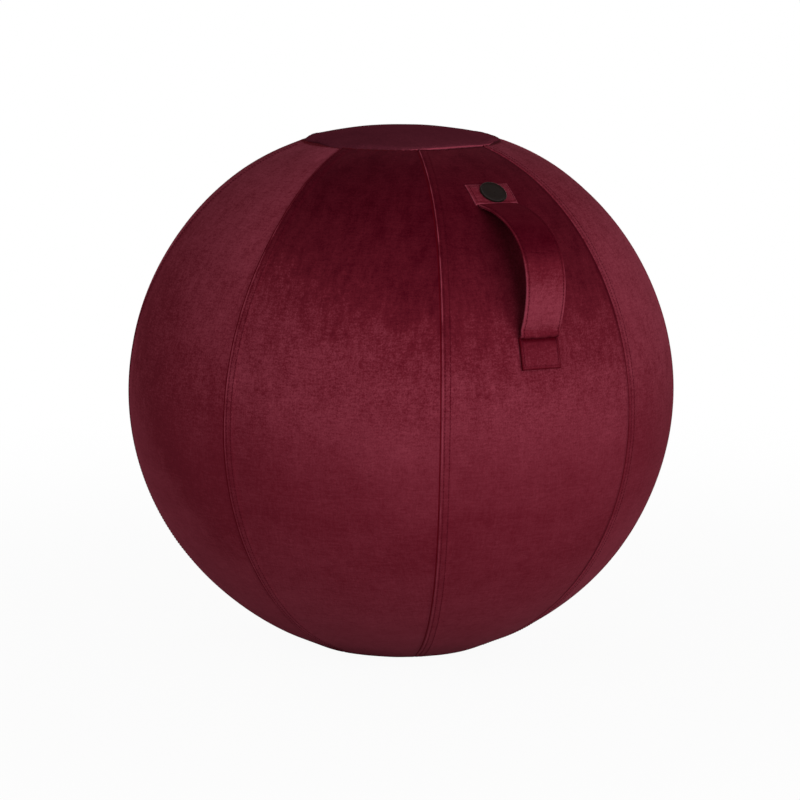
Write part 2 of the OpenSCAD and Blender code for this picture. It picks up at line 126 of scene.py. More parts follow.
class Nodes:
    """Short hands for adding and joining nodes in one tree."""

    def __init__(self, tree):
        self.tree = tree

    def add(self, kind, inputs=None, **settings):
        """A new node with its settings, each of its inputs linked or set to a plain value."""
        node = self.tree.nodes.new(kind)
        for key, value in settings.items():
            setattr(node, key, value)
        for key, value in (inputs or {}).items():
            socket = node.inputs[key]
            if isinstance(value, bpy.types.NodeSocket):
                self.tree.links.new(value, socket)
            else:
                socket.default_value = value
        return node

    def math(self, operation, a, b=0.0, clamp=False):
        return self.add("ShaderNodeMath", {0: a, 1: b}, operation=operation, use_clamp=clamp).outputs[0]

    def plus(self, a, b, clamp=False):
        return self.math("ADD", a, b, clamp)

    def minus(self, a, b, clamp=False):
        return self.math("SUBTRACT", a, b, clamp)

    def times(self, a, b, clamp=False):
        return self.math("MULTIPLY", a, b, clamp)

    def smooth(self, value, low, high):
        """0 below low, 1 above high, and a smooth ramp between."""
        ramp = self.add("ShaderNodeMapRange", {"Value": value, "From Min": low, "From Max": high},
                        interpolation_type="SMOOTHSTEP")
        return ramp.outputs["Result"]

    def spread(self, value, low, high):
        """low where value is 0, high where it is 1, and in step between."""
        ends = {"Value": value, "To Min": low, "To Max": high}
        return self.add("ShaderNodeMapRange", ends).outputs["Result"]

    def mix(self, share, a, b):
        """Colour a where share is 0, colour b where it is 1."""
        return self.add("ShaderNodeMix", {0: share, 6: a, 7: b}, data_type="RGBA").outputs[2]


def seen_directly(n):
    """1 for what the camera sees, straight or in a gloss, and 0 for the light that lands on the cloth."""
    path = n.add("ShaderNodeLightPath").outputs
    seen = n.math("MAXIMUM", path["Is Camera Ray"], path["Is Transmission Ray"])
    return n.math("MAXIMUM", seen, path["Is Glossy Ray"])


floor_grey = (0.70, 0.70, 0.69, 1)
floor_radius = 9.0
floor_sides = 96
floor_white_share = 0.945
# The floor turns fully white between these distances from the ball, in metres.
floor_fade = (0.4, 1.6)
world_strength = 0.28


def floor_material():
    """Pale grey for the light on the cloth, and nearly white to the camera, with the shadow kept."""
    material = new_material("pale_floor")
    n = Nodes(material.node_tree)
    diffuse = n.add("ShaderNodeBsdfDiffuse", {"Color": floor_grey}).outputs[0]
    white = n.add("ShaderNodeEmission", {"Color": (1, 1, 1, 1), "Strength": 1.0}).outputs[0]
    place = n.add("ShaderNodeNewGeometry").outputs["Position"]
    distance = n.add("ShaderNodeVectorMath", {0: place}, operation="LENGTH").outputs["Value"]
    far = n.smooth(distance, *floor_fade)
    share = n.plus(floor_white_share, n.times(far, 1 - floor_white_share), clamp=True)
    share = n.times(share, seen_directly(n))
    mixed = n.add("ShaderNodeMixShader", {0: share, 1: diffuse, 2: white}).outputs[0]
    n.add("ShaderNodeOutputMaterial", {"Surface": mixed})
    return material


def world_light(name, strength):
    """A dim, even light on the cloth from a world that the camera sees as white."""
    world = bpy.data.worlds.new(name)
    world.use_nodes = True
    world.node_tree.nodes.clear()
    n = Nodes(world.node_tree)
    dim = n.add("ShaderNodeBackground", {"Color": (1, 1, 1, 1), "Strength": strength}).outputs[0]
    white = n.add("ShaderNodeBackground", {"Color": (1, 1, 1, 1), "Strength": 1.0}).outputs[0]
    mixed = n.add("ShaderNodeMixShader", {0: seen_directly(n), 1: dim, 2: white}).outputs[0]
    n.add("ShaderNodeOutputWorld", {"Surface": mixed})
    return world


def floor_mesh():
    """A flat round with its middle under the ball."""
    angles = np.linspace(0, 2 * math.pi, floor_sides, endpoint=False)
    mesh = bpy.data.meshes.new("floor")
    places = [(floor_radius * math.cos(a), floor_radius * math.sin(a), 0) for a in angles]
    mesh.from_pydata(places, [], [range(floor_sides)])
    return mesh


floor = bpy.data.objects.new("floor", floor_mesh())
SCENE.objects.link(floor)
floor.data.materials.append(floor_material())
bpy.context.scene.world = world_light("studio", world_strength)
bpy.context.scene.view_settings.view_transform = "Standard"
print("floor radius:", floor_radius, "m")

# %% [markdown]
# Round area lamps stand in for softboxes: a large lamp shades cloth softly, and a round one leaves no
# square glint on the badge. Their places are counted round from the camera, so they keep their part in
# the picture if the camera's place is changed.

# %% Lamps
# Each lamp: degrees round from the camera (to its right), degrees up, distance, size and strength.
lamps = {
    "right_softbox": (50, 18, 2.8, 1.8, 27.0),
    "left_softbox": (-52, 26, 2.8, 1.8, 21.0),
    "front_softbox": (22, 10, 3.2, 1.4, 36.0),
    "back_left_softbox": (-150, 6, 3.0, 1.6, 34.0),
    "back_right_softbox": (150, 6, 3.0, 1.6, 34.0),
}


def place_lamp(name, round_deg, up_deg, distance, size, watts):
    """A round soft lamp that looks at the ball's centre."""
    data = bpy.data.lights.new(name, "AREA")
    data.shape = "DISK"
    data.size = size
    data.energy = watts
    lamp = bpy.data.objects.new(name, data)
    SCENE.objects.link(lamp)
    azimuth = camera_azimuth + math.radians(round_deg)
    up = math.radians(up_deg)
    toward = np.array([math.sin(azimuth) * math.cos(up), -math.cos(azimuth) * math.cos(up), math.sin(up)])
    look_along(lamp, ball_centre + distance * toward, ball_centre)


for lamp_name, setting in lamps.items():
    place_lamp(lamp_name, *setting)
print("lamps:", list(lamps))

# %% [markdown]
# ## The ball's outline
# Every cloth piece lies on one turned outline: a slightly flattened circle, pressed down a little under
# the crown, with a straight flank into the foot. Walking along that outline by its true length, as a
# tailor's tape does, gives evenly spaced rows and lets a seam or a strap be placed in millimetres.

# %% Outline
ball_radius = 325.0
ball_half_height = 321.0
crown_drop = 6.8
crown_radius = 200.0
disc_radius = 117.0
under_disc = 11.0
foot_radius = 112.5
flank_width = 37.5
gore_count = 8
gore_angle = 2 * math.pi / gore_count


def round_at(polar, off=0.0):
    """Radius and height of the cover at a polar angle in radians, off millimetres outside it."""
    r = (ball_radius + off) * np.sin(polar)
    pressed = np.where(r < crown_radius, crown_drop * (1 - np.minimum(r / crown_radius, 1) ** 2) ** 2, 0)
    z = girth + (ball_half_height + off) * np.cos(polar)
    return np.stack([r, z - np.where(polar < math.pi / 2, pressed, 0)], -1)


flank_polar = math.pi - math.asin((foot_radius + flank_width) / ball_radius)
flank_top = round_at(np.array(flank_polar))
flank_low = np.array([foot_radius, 0.0])
flank_run = np.linalg.norm(flank_top - flank_low)
flank_dir = (flank_top - flank_low) / flank_run


def line_run(line):
    """The length run so far at each point of a line."""
    return np.concatenate([[0], np.cumsum(np.linalg.norm(np.diff(line, axis=0), axis=1))])


def unit(vectors):
    """The vectors at length 1."""
    return vectors / np.linalg.norm(vectors, axis=-1, keepdims=True)


class Outline:
    """A line of [radius, height] points measured along its length, with its outward normals."""

    def __init__(self, points):
        self.points = np.asarray(points, float)
        self.along = line_run(self.points)
        self.length = self.along[-1]
        slope = unit(np.gradient(self.points, self.along, axis=0))
        self.normals = np.stack([-slope[:, 1], slope[:, 0]], -1)

    def at(self, s):
        """Points and normals at the lengths s."""
        point = np.stack([np.interp(s, self.along, self.points[:, i]) for i in (0, 1)], -1)
        normal = np.stack([np.interp(s, self.along, self.normals[:, i]) for i in (0, 1)], -1)
        return point, unit(normal)


outline_points = 400
flank_points = 12


def gore_outline(low):
    """The cover's outline from just inside the disc's seam down to low millimetres up the flank."""
    polar = np.linspace(math.asin((disc_radius - under_disc) / ball_radius), flank_polar, outline_points)
    flank = [flank_low + flank_dir * s for s in np.linspace(flank_run, low, flank_points)[1:]]
    return Outline(np.concatenate([round_at(polar), flank]))


zip_up = 17.0
zip_window = 15.0
foot_edge = 0.4
front_outline = gore_outline(foot_edge)
zip_outline = gore_outline(zip_up + zip_window / 2)
print("gore length:", round(front_outline.length), "mm, over the zip:", round(zip_outline.length), "mm")

# %% [markdown]
# ## Helpers for cloth
# A sewn cloth piece is a thin closed shell: a fine outer grid that carries the form, an inner grid a
# cloth's thickness below, and edges that join them. One helper builds that shell from rows of points.
# It stores two maps in metres: "cut" is each point's flat place, so that the weave follows the cut, and
# "edge" is how far it lies from the piece's seams, so that a rolled edge can be lighter than the rest.

# %% Cloth helper


def smooth_step(value, low, high):
    """0 below low, 1 above high, and a smooth step between."""
    t = np.clip((value - low) / (high - low), 0, 1)
    return t * t * (3 - 2 * t)


def bump(value, centre, width):
    """1 at centre, falling off over width on both sides of it."""
    return np.exp(-((value - centre) / width) ** 2)


def mesh_object(name, points, faces, maps=None):
    """A smooth mesh object from points in millimetres, with its maps, one place a point."""
    mesh = bpy.data.meshes.new(name)
    mesh.from_pydata((np.asarray(points) * MM).tolist(), [], [list(f) for f in faces])
    corner = np.zeros(len(mesh.loops), np.int32)
    mesh.loops.foreach_get("vertex_index", corner)
    for map_name, places in (maps or {}).items():
        layer = mesh.uv_layers.new(name=map_name)
        layer.data.foreach_set("uv", (np.asarray(places)[corner] * MM).astype(np.float32).ravel())
    mesh.polygons.foreach_set("use_smooth", np.full(len(mesh.polygons), True))
    mesh.update()
    obj = bpy.data.objects.new(name, mesh)
    SCENE.objects.link(obj)
    return obj


def doubled(grid):
    """A grid's two-number places as a list, once for the outer and once for the inner side."""
    return np.concatenate([grid.reshape(-1, 2)] * 2)


def shell(name, outer, inner, flat, edge):
    """A closed cloth shell from two grids of points, rows by columns, and the outer grid's two maps."""
    rows, cols = outer.shape[:2]
    below = rows * cols
    index = np.arange(below).reshape(rows, cols)
    quads = np.stack([index[:-1, :-1], index[:-1, 1:], index[1:, 1:], index[1:, :-1]], -1).reshape(-1, 4)
    rim = np.concatenate([index[0, :-1], index[:-1, -1], index[-1, :0:-1], index[:0:-1, 0]])
    following = np.roll(rim, -1)
    sides = np.stack([rim, following, following + below, rim + below], -1)
    faces = quads[:, [0, 3, 2, 1]].tolist() + (quads + below).tolist() + sides.tolist()
    points = np.concatenate([outer.reshape(-1, 3), inner.reshape(-1, 3)])
    return mesh_object(name, points, faces, {"cut": doubled(flat), "edge": doubled(edge)})


def round_solid(name, rings, flat=None, edge=None):
    """A closed solid from rings of points, whose first and last rings shrink to one point each."""
    def listed(grid):
        """The grid's places as a list, with one middle place for each end ring."""
        middle = grid[1:-1].reshape(-1, grid.shape[-1])
        return np.concatenate([grid[:1].mean(1), middle, grid[-1:].mean(1)])
    rows, cols = rings.shape[0] - 2, rings.shape[1]
    index = 1 + np.arange(rows * cols).reshape(rows, cols)
    ahead = np.roll(index, -1, 1)
    faces = np.stack([index[:-1], index[1:], ahead[1:], ahead[:-1]], -1).reshape(-1, 4).tolist()
    faces += [[0, a, b] for a, b in zip(index[0], ahead[0])]
    faces += [[rows * cols + 1, b, a] for a, b in zip(index[-1], ahead[-1])]
    maps = {} if flat is None else {"cut": listed(flat), "edge": listed(edge)}
    return mesh_object(name, listed(rings), faces, maps)


def swung(place, angle):
    """Pairs of radius and height, turned round the ball's axis to the angles."""
    r, z = place[..., 0], place[..., 1]
    return np.stack([r * np.cos(angle), r * np.sin(angle), z + 0 * angle], -1)


def turned(point, normal, angle, height):
    """Points turned to the angles, and moved height outwards along the outline's normals."""
    return swung(point + np.asarray(height)[..., None] * normal, angle)


def cloth_area(outer):
    """The flat area of a grid of points, in square metres."""
    a = outer[1:, 1:] - outer[:-1, :-1]
    b = outer[1:, :-1] - outer[:-1, 1:]
    return float(np.linalg.norm(np.cross(a, b), axis=-1).sum() / 2 * MM * MM)


print("a gore's share of the girth:", round(ball_radius * gore_angle), "mm")

# %% [markdown]
# ## Velvet
# Velvet is a pile of short fibres on a woven ground. Where the fibres lean away the eye sees between
# them and the cloth is deep and saturated; where their sides show it is light and a little pink. The
# ground's yarns and a few heavy slubs show through as short lines, tufts stand in clusters, and a hand
# leaves strokes and clouds. Each of these marks is noise, stretched to its own size on the flat cut.

# %% Marks of the pile
# Each mark: metres across the cut, metres along it, detail and seed.
pile_marks = {
    "warp": (0.0024, 0.013, 2.0, 3.1),
    "weft": (0.0090, 0.0024, 2.0, 7.7),
    "slubs": (0.026, 0.0032, 2.0, 8.8),
    "pile": (0.0015, 0.0015, 1.0, 1.9),
    "tuft": (0.0050, 0.0036, 2.0, 4.4),
    "stroke": (0.018, 0.032, 3.0, 5.3),
    "cloud": (0.055, 0.040, 2.0, 2.7),
}


def stretched_noise(n, flat, across, along, detail, seed):
    """Noise about zero, whose marks are about across by along metres on the flat cut."""
    scale = n.add("ShaderNodeVectorMath", {0: flat, 1: (1 / across, 1 / along, 0)}, operation="MULTIPLY")
    moved = n.add("ShaderNodeVectorMath", {0: scale.outputs[0], 1: (seed, seed * 0.7, seed * 1.3)},
                  operation="ADD")
    noise = n.add("ShaderNodeTexNoise", {"Vector": moved.outputs[0], "Scale": 1.0, "Detail": detail,
                                         "Roughness": 0.55}, noise_dimensions="3D")
    return n.minus(noise.outputs["Fac"], 0.5)


def summed(n, *parts):
    """The sum of several values, each with its share."""
    total = n.times(*parts[0])
    for value, share in parts[1:]:
        total = n.plus(total, n.times(value, share))
    return total


print("marks of the pile:", list(pile_marks))

# %% [markdown]
# One shared group turns those marks into colour, roughness and height. The "edge" map tells it where the
# seams are: a painted highlight lies along a rolled edge, where it catches the light, a ditch takes the
# seam's own deep colour, the stitch rows are a shade darker, and the right edge of a panel, which is tucked
# under its neighbour, gets a painted shadow.

# %% Velvet group
pile_deep = (0.040, 0.0004, 0.0040, 1)
pile_middle = (0.105, 0.0080, 0.0160, 1)
pile_tips = (0.220, 0.034, 0.055, 1)
seam_crimson = (0.085, 0.0006, 0.0040, 1)
velvet_inputs = {
    "Deep": pile_deep, "Middle": pile_middle, "Tips": pile_tips, "Seam": seam_crimson, "Nap": 0.5,
    "Slub": 1.0, "Ridge": 0.0004, "Edge Highlight": 1.0, "Ditch": 0.0, "Painted Tuck Shadow": 0.0, "Row A": 0.0032,
    "Row B": 0.0032, "Sewn": 0.0,
}
velvet_outputs = {"Color": "NodeSocketColor", "Roughness": "NodeSocketFloat", "Height": "NodeSocketFloat"}

# Distances from a seam, in metres, between which each mark of the seam fades.
ridge_rise = 0.0006
ridge_fall = (0.0001, 0.0009)
left_ditch = (0.0001, 0.0010)
right_ditch = (0.0001, 0.0011)
tuck_shadow = (0.0016, 0.0062)
stitch_shadow = (0.0004, 0.0013)


def fine_marks(n, given, mark):
    """Fuzz and yarn, livelier where the nap is raised and quieter where the cloth is smooth."""
    fuzz = n.times(summed(n, (mark["pile"], 0.62), (mark["tuft"], 0.22)), given["Slub"])
    yarn = summed(n, (mark["warp"], 0.24), (mark["weft"], 0.34), (mark["slubs"], 0.19))
    yarn = n.times(yarn, n.plus(0.35, n.times(given["Slub"], 0.65)))
    lively = n.math("MINIMUM", n.plus(0.36, n.times(given["Nap"], 1.3)), 0.98)
    return n.times(n.plus(fuzz, yarn), lively)


def painted_edge_highlight(n, given, left, stroke):
    """A painted highlight along a rolled edge, where the edge catches the light, made uneven by the stroke
    noise.
    """
    rising = n.smooth(left, n.minus(given["Ridge"], ridge_rise), given["Ridge"])
    falling = n.smooth(left, *(n.plus(given["Ridge"], end) for end in ridge_fall))
    edge_lightening = n.times(n.times(n.plus(1.0, n.times(stroke, 4.0)), given["Slub"]), given["Edge Highlight"])
    return n.times(n.minus(rising, falling, clamp=True), edge_lightening)


def stitch_lines(n, given, left):
    """1 along the two stitch rows and 0 away from them."""
    rows = [n.math("ABSOLUTE", n.minus(left, given[name])) for name in ("Row A", "Row B")]
    return n.times(n.minus(1.0, n.smooth(n.math("MINIMUM", *rows), *stitch_shadow)), given["Sewn"])


def velvet_group():
    """The group that gives velvet its colour, roughness and height."""
    tree = bpy.data.node_groups.new("velvet_pile", "ShaderNodeTree")
    for name, value in velvet_inputs.items():
        kind = "NodeSocketFloat" if isinstance(value, float) else "NodeSocketColor"
        tree.interface.new_socket(name, in_out="INPUT", socket_type=kind).default_value = value
    for name, kind in velvet_outputs.items():
        tree.interface.new_socket(name, in_out="OUTPUT", socket_type=kind)
    n = Nodes(tree)
    given = n.add("NodeGroupInput").outputs
    cut = n.add("ShaderNodeUVMap", uv_map="cut").outputs[0]
    from_edge = n.add("ShaderNodeSeparateXYZ", {0: n.add("ShaderNodeUVMap", uv_map="edge").outputs[0]})
    left, right = from_edge.outputs["X"], from_edge.outputs["Y"]
    mark = {name: stretched_noise(n, cut, *size) for name, size in pile_marks.items()}
    soft = summed(n, (n.times(mark["stroke"], given["Slub"]), 0.31), (mark["cloud"], 0.16))
    seams = n.plus(n.smooth(left, *left_ditch), n.smooth(right, *right_ditch))
    ditch = n.times(n.minus(2.0, seams), given["Ditch"])
    # A painted shadow along the right edge, which lies tucked under the neighbouring gore.
    painted_tuck_shadow = n.times(n.minus(1.0, n.smooth(right, *tuck_shadow)), given["Painted Tuck Shadow"])
    nap = summed(n, (given["Nap"], 1.0), (fine_marks(n, given, mark), 1.0), (soft, 1.0),
                 (painted_edge_highlight(n, given, left, mark["stroke"]), 0.46), (ditch, -0.10),
                 (stitch_lines(n, given, left), -0.07))
    nap = n.plus(nap, 0.0, clamp=True)
    colour = n.mix(n.times(nap, 2.0, clamp=True), given["Deep"], given["Middle"])
    colour = n.mix(n.minus(n.times(nap, 2.0), 1.0, clamp=True), colour, given["Tips"])
    # In the ditch the colour goes to Seam: the seam's own deep crimson, or the painted shadow crimson where
    # a material is given it.
    colour = n.mix(n.times(ditch, 0.9, clamp=True), colour, given["Seam"])
    # The painted shadow of the tucked edge pulls the colour towards Deep.
    colour = n.mix(n.times(painted_tuck_shadow, 0.78), colour, given["Deep"])
    height = summed(n, (mark["warp"], 0.6), (mark["weft"], 0.6), (mark["pile"], 1.0))
    n.add("NodeGroupOutput", {"Color": colour, "Roughness": n.spread(nap, 0.72, 0.92), "Height": height})
    return tree


velvet_pile = velvet_group()
print("group:", velvet_pile.name, [s.name for s in velvet_pile.interface.items_tree])

# %% [markdown]
# The gores that face the camera are dark over their upper third and light over the middle, and the side
# gores are light nearly all over. That is painted shade and sheen, laid over the nap's own change from gore
# to gore: a curve over the length of the cut says how far the nap is raised, 0 deep and 1 light, and a lean
# tips that change to one side. Both are fixed to the cloth and not to the view, so the painted shade turns
# with the ball. Streaks fray the change, and lower down the cloth is smoother.

# %% Velvet material
# Noise that frays the changes of the nap: metres across and along, detail and seed.
uneven_marks = (0.020, 0.030, 3.0, 9.1)
streak_marks = (0.0080, 0.030, 3.0, 6.2)
# Zones in metres along the cut: where streaks end, where the cloth gets smooth, and the girth.
streaks_end = (0.30, 0.42)
smoother_from = (0.33, 0.46)
girth_starts = (0.26, 0.34)
girth_ends = (0.47, 0.58)


def nap_curve(n, along, stroke):
    """The nap along the cut, from stroke's places in millimetres and the nap at each."""
    reach = stroke[-1][0] * MM
    curve = n.add("ShaderNodeFloatCurve", {"Value": n.math("DIVIDE", along, reach, clamp=True)})
    line = curve.mapping.curves[0]
    line.points[0].location = (0, stroke[0][1])
    line.points[1].location = (1, stroke[-1][1])
    for millimetres, nap in stroke[1:-1]:
        line.points.new(millimetres * MM / reach, nap)
    curve.mapping.update()
    return curve.outputs[0]


def bumped(n, height, strength, distance):
    """The surface's normal, tilted by a height of which 1 stands distance metres out."""
    tilt = n.add("ShaderNodeBump", {"Strength": strength, "Distance": distance, "Height": height})
    return tilt.outputs["Normal"]


def finished(material, looks):
    """The material, with a Principled shader of these looks on its output."""
    n = Nodes(material.node_tree)
    shader = n.add("ShaderNodeBsdfPrincipled", looks)
    n.add("ShaderNodeOutputMaterial", {"Surface": shader.outputs[0]})
    return material


def velvet_material(name, stroke, lean=0.0, lean_from=0.0, feather=100.0, slub=1.0, calm=0.0, ridge=0.4,
                    edge_lightening=1.0, ditch=0.0, tuck=0.0, rows=(), glow=(0.55, 0.26, 0.31, 1), deep=pile_deep,
                    middle=pile_middle, seam=seam_crimson):
    """Velvet whose nap follows stroke, a list of places: millimetres along the cut, and nap."""
    material = new_material(name)
    n = Nodes(material.node_tree)
    cut = n.add("ShaderNodeUVMap", uv_map="cut").outputs[0]
    flat = n.add("ShaderNodeSeparateXYZ", {0: cut}).outputs
    uneven = stretched_noise(n, cut, *uneven_marks)
    streaked = n.minus(1.0, n.smooth(flat["Y"], *streaks_end))
    streak = n.times(stretched_noise(n, cut, *streak_marks), streaked)
    to_the_left = n.math("MAXIMUM", n.minus(lean_from * MM, flat["X"]), 0.0)
    along = summed(n, (flat["Y"], 1.0), (to_the_left, lean), (uneven, 0.8 * feather * MM),
                   (streak, 1.15 * feather * MM))
    rough_part = n.minus(1.0, n.times(n.smooth(flat["Y"], *smoother_from), calm))
    values = {"Deep": deep, "Middle": middle, "Tips": pile_tips, "Seam": seam, "Ridge": ridge * MM,
              "Nap": nap_curve(n, along, stroke), "Slub": n.times(rough_part, slub), "Edge Highlight": edge_lightening,
              "Ditch": ditch}
    # tuck sets the painted shadow along the right edge; round the girth it is painted weaker.
    if tuck:
        girth_part = n.minus(n.smooth(flat["Y"], *girth_starts), n.smooth(flat["Y"], *girth_ends))
        values["Painted Tuck Shadow"] = n.minus(tuck, n.times(girth_part, 0.6 * tuck))
    if rows:
        values.update({"Row A": rows[0] * MM, "Row B": rows[-1] * MM, "Sewn": rough_part})
    pile = n.add("ShaderNodeGroup", values, node_tree=velvet_pile).outputs
    return finished(material, {
        "Base Color": pile["Color"], "Roughness": pile["Roughness"], "Specular IOR Level": 0.0,
        "Sheen Weight": 0.05, "Sheen Roughness": 0.50, "Sheen Tint": glow,
        "Normal": bumped(n, pile["Height"], 0.25, 0.0004)})


print("nap is frayed by marks of", streak_marks[0] / MM, "x", streak_marks[1] / MM, "mm")

# %% [markdown]
# Each gore has a velvet of its own: its stroke holds its own painted shade and sheen, and its rolled edge,
# tucked edge and seam hold their own painted highlight and shadow. The eight share the marks of the pile
# and the stitch rows, and differ only in the values that these tables hold.

# %% Velvet of the gores
stitch_rows = (4.5, 10.4)
rolled_edge = 1.9
# A dark crimson painted as shadow: in the strap's crease, round its sewn box, and along gore 2's seam.
painted_shadow_crimson = (0.050, 0.0003, 0.0028, 1)
# Each stroke is a list of places: millimetres along the cut, and the nap there. The naps are painted shade
# and sheen: low where a gore faces up, high across its middle and on the side gores.
front_left = [(0, 0.20), (60, 0.11), (111, 0.08), (155, 0.125), (194, 0.20), (230, 0.27), (265, 0.40),
              (298, 0.55), (331, 0.62), (372, 0.67), (418, 0.69), (448, 0.62), (476, 0.595), (512, 0.55),
              (592, 0.59), (780, 0.80)]
front_right = [(0, 0.22), (60, 0.15), (112, 0.14), (156, 0.17), (195, 0.24), (231, 0.34), (266, 0.46),
               (299, 0.54), (332, 0.61), (365, 0.69), (398, 0.68), (432, 0.63), (467, 0.59), (505, 0.555),
               (594, 0.58), (780, 0.78)]
side_left = [(0, 0.95), (60, 0.86), (105, 0.74), (145, 0.73), (193, 0.74), (256, 0.69), (314, 0.64),
             (371, 0.56), (428, 0.525), (488, 0.49), (551, 0.58), (612, 0.66), (780, 0.72)]
side_right = [(0, 0.63), (83, 0.63), (151, 0.67), (201, 0.74), (266, 0.76), (326, 0.71), (384, 0.605),
              (442, 0.56), (506, 0.60), (570, 0.68), (780, 0.74)]
# Each gore: its stroke, how much it leans, and how far right of its middle the lean starts, in mm.
gore_strokes = {
    1: (front_right, 0.0), 2: (side_right, 0.0), 3: (side_left, 0.4), 4: (front_right, 0.3),
    5: (front_left, 0.45), 6: (side_right, 0.3), 7: (side_left, 1.2, 75), 8: (front_left, 0.36, 90),
}
gore_slub = {1: 0.95, 2: 0.8, 7: 0.85}
# How strong the painted highlight on each gore's rolled edge is, how dark the painted shadow along its
# tucked right edge is, and which seam takes the painted shadow crimson.
gore_edge_highlight = {1: 1.6, 2: -0.5}
gore_tuck_shadow = {1: 1.0}
gore_seam_shadow = {2: painted_shadow_crimson}
gore_velvet = {}
for number, stroke in gore_strokes.items():
    gore_velvet[number] = velvet_material(
        f"velvet_gore_{number}", *stroke, slub=gore_slub.get(number, 1.0), calm=0.7, ridge=rolled_edge,
        edge_lightening=gore_edge_highlight.get(number, 0.9), ditch=1.0, tuck=gore_tuck_shadow.get(number, 0.2), rows=stitch_rows,
        seam=gore_seam_shadow.get(number, seam_crimson))
print("gore velvets:", len(gore_velvet))

# %% [markdown]
# The disc and the foot are darker than the gores. One more velvet serves both, with a low nap, colours that
# are a little greyer, and a dimmer sheen.

# %% Velvet of the disc and the foot
disc_deep = (0.045, 0.006, 0.012, 1)
disc_middle = (0.097, 0.0155, 0.0263, 1)
low_glow = (0.40, 0.06, 0.09, 1)
# The flat cuts of the disc and the foot have their middle at this length along the stroke.
round_cut_middle = 500.0
far_from_seams = 50.0
# Across the flat cuts of the disc and the foot the stroke runs from front to back; the lighter nap near 384
# mm, at their front edge, is a painted highlight, and the disc's lip gets a strong painted highlight.
disc_stroke = [(0, 0.31), (384, 0.44), (400, 0.37), (425, 0.30), (560, 0.29), (617, 0.33), (1000, 0.31)]
disc_velvet = velvet_material("velvet_disc", disc_stroke, feather=30, slub=0.8, ridge=0.9, edge_lightening=2.7,
                              glow=low_glow, deep=disc_deep, middle=disc_middle)
print("velvets:", len(gore_velvet) + 1)

# %% [markdown]
# ## The gores
# Each gore is cut as a long leaf and sewn to its neighbours face to face. The seam allowances are then
# pressed to one side and held by a twin-needle topstitch, which leaves a dark ditch, a soft raised edge
# beside it, and two shallow lines. All that is height over the outline, so it is built as real form. At the
# top, the "edge" map counts from the disc's lip, so that the lip's shadow is painted there as a dark line.

# %% Gores
# Columns of the grid, in millimetres from the left seam, and from the right one.
seam_columns = [0.0, 0.35, 0.8, 1.3, 1.9, 2.6, 3.4, 4.0, 4.5, 5.0, 5.8, 7.2, 8.6, 9.4, 10.0, 10.4, 10.9,
                11.6, 12.6, 14.0, 16.5]
far_columns = [10.0, 6.0, 3.6, 2.2, 1.3, 0.7, 0.3, 0.0]
middle_columns = 22
row_step = 2.5
first_seam = math.radians(-90) - gore_angle / 2
zip_gores = (3, 4, 5, 6)
half_ditch = 0.03
floor_clear = 0.1
ridge_fade = 70.0
gore_cloth = 1.7
least_depth = 1.2
# Heights and depths of what sewing leaves in the cloth.
seam_height = 0.7
roll_height = 0.30
left_ditch_depth = 0.36
right_ditch_depth = 0.33
groove_depth = 0.13
pucker_height = 0.16
ease_height = 0.5
gather_height = 0.45
tuck_depth = 1.6


def gore_relief(left, right, along, number):
    """Height in millimetres of a gore's cloth over the outline, from the distances to its two seams."""
    rise = seam_height * smooth_step(left, 0.3, 2.0) * (1 - smooth_step(left, 11.0, 14.6))
    roll = roll_height * bump(left, 2.0, 0.9)
    ditch = -left_ditch_depth * bump(left, 0, 1.0) - right_ditch_depth * bump(right, 0, 1.1)
    line = sum(-groove_depth * bump(left, row, 0.8) for row in stitch_rows)
    pressed_flat = smooth_step(front_outline.length - along, 12, ridge_fade)
    waves = np.sin(along / 9.0 + 1.7 * number) * np.sin(along / 23.0 + number)
    pucker = pucker_height * waves * (bump(right, 9, 9) + bump(left, 20, 9))
    ease = ease_height * np.sin(along / 61.0 + 2.1 * number) * np.sin((left - right) / 47.0 + number)
    gathered = bump(along, under_disc + 2, 9)
    gather = gather_height * np.sin(left / 1.5 + 2 * math.sin(3 * number)) * gathered
    gather = gather * smooth_step(left, 13, 20)
    tuck = -tuck_depth * (1 - smooth_step(along, 3, under_disc + 2))
    middle = smooth_step(left, 8, 60) * smooth_step(right, 8, 60)
    return (rise + roll) * pressed_flat + ditch + line + pucker + gather + ease * middle + tuck


def seam_twist(point):
    """How far the seams wander round the ball at points of the outline, in radians, as they were sewn."""
    polar = np.degrees(np.arctan2(point[..., 0] / ball_radius, (point[..., 1] - girth) / ball_half_height))
    return np.radians(1.4 * bump(polar, 38, 24) - 0.55 * bump(polar, 98, 26))


def outline_of(number):
    """The outline that a gore lies on."""
    return zip_outline if number in zip_gores else front_outline


def angle_on(number, point, left):
    """The angles round the ball of places left millimetres from a gore's first seam."""
    return first_seam + (number - 1) * gore_angle + seam_twist(point) + (left + half_ditch) / point[..., 0]


def gore_columns(width):
    """The columns' distances from the left seam, for rows of the given widths."""
    left_part = np.tile(np.array(seam_columns), (len(width), 1))
    right_part = width - np.tile(np.array(far_columns), (len(width), 1))
    share = np.linspace(0, 1, middle_columns + 2)[1:-1]
    middle = left_part[:, -1:] + (right_part[:, :1] - left_part[:, -1:]) * share
    return np.concatenate([left_part, middle, right_part], 1)


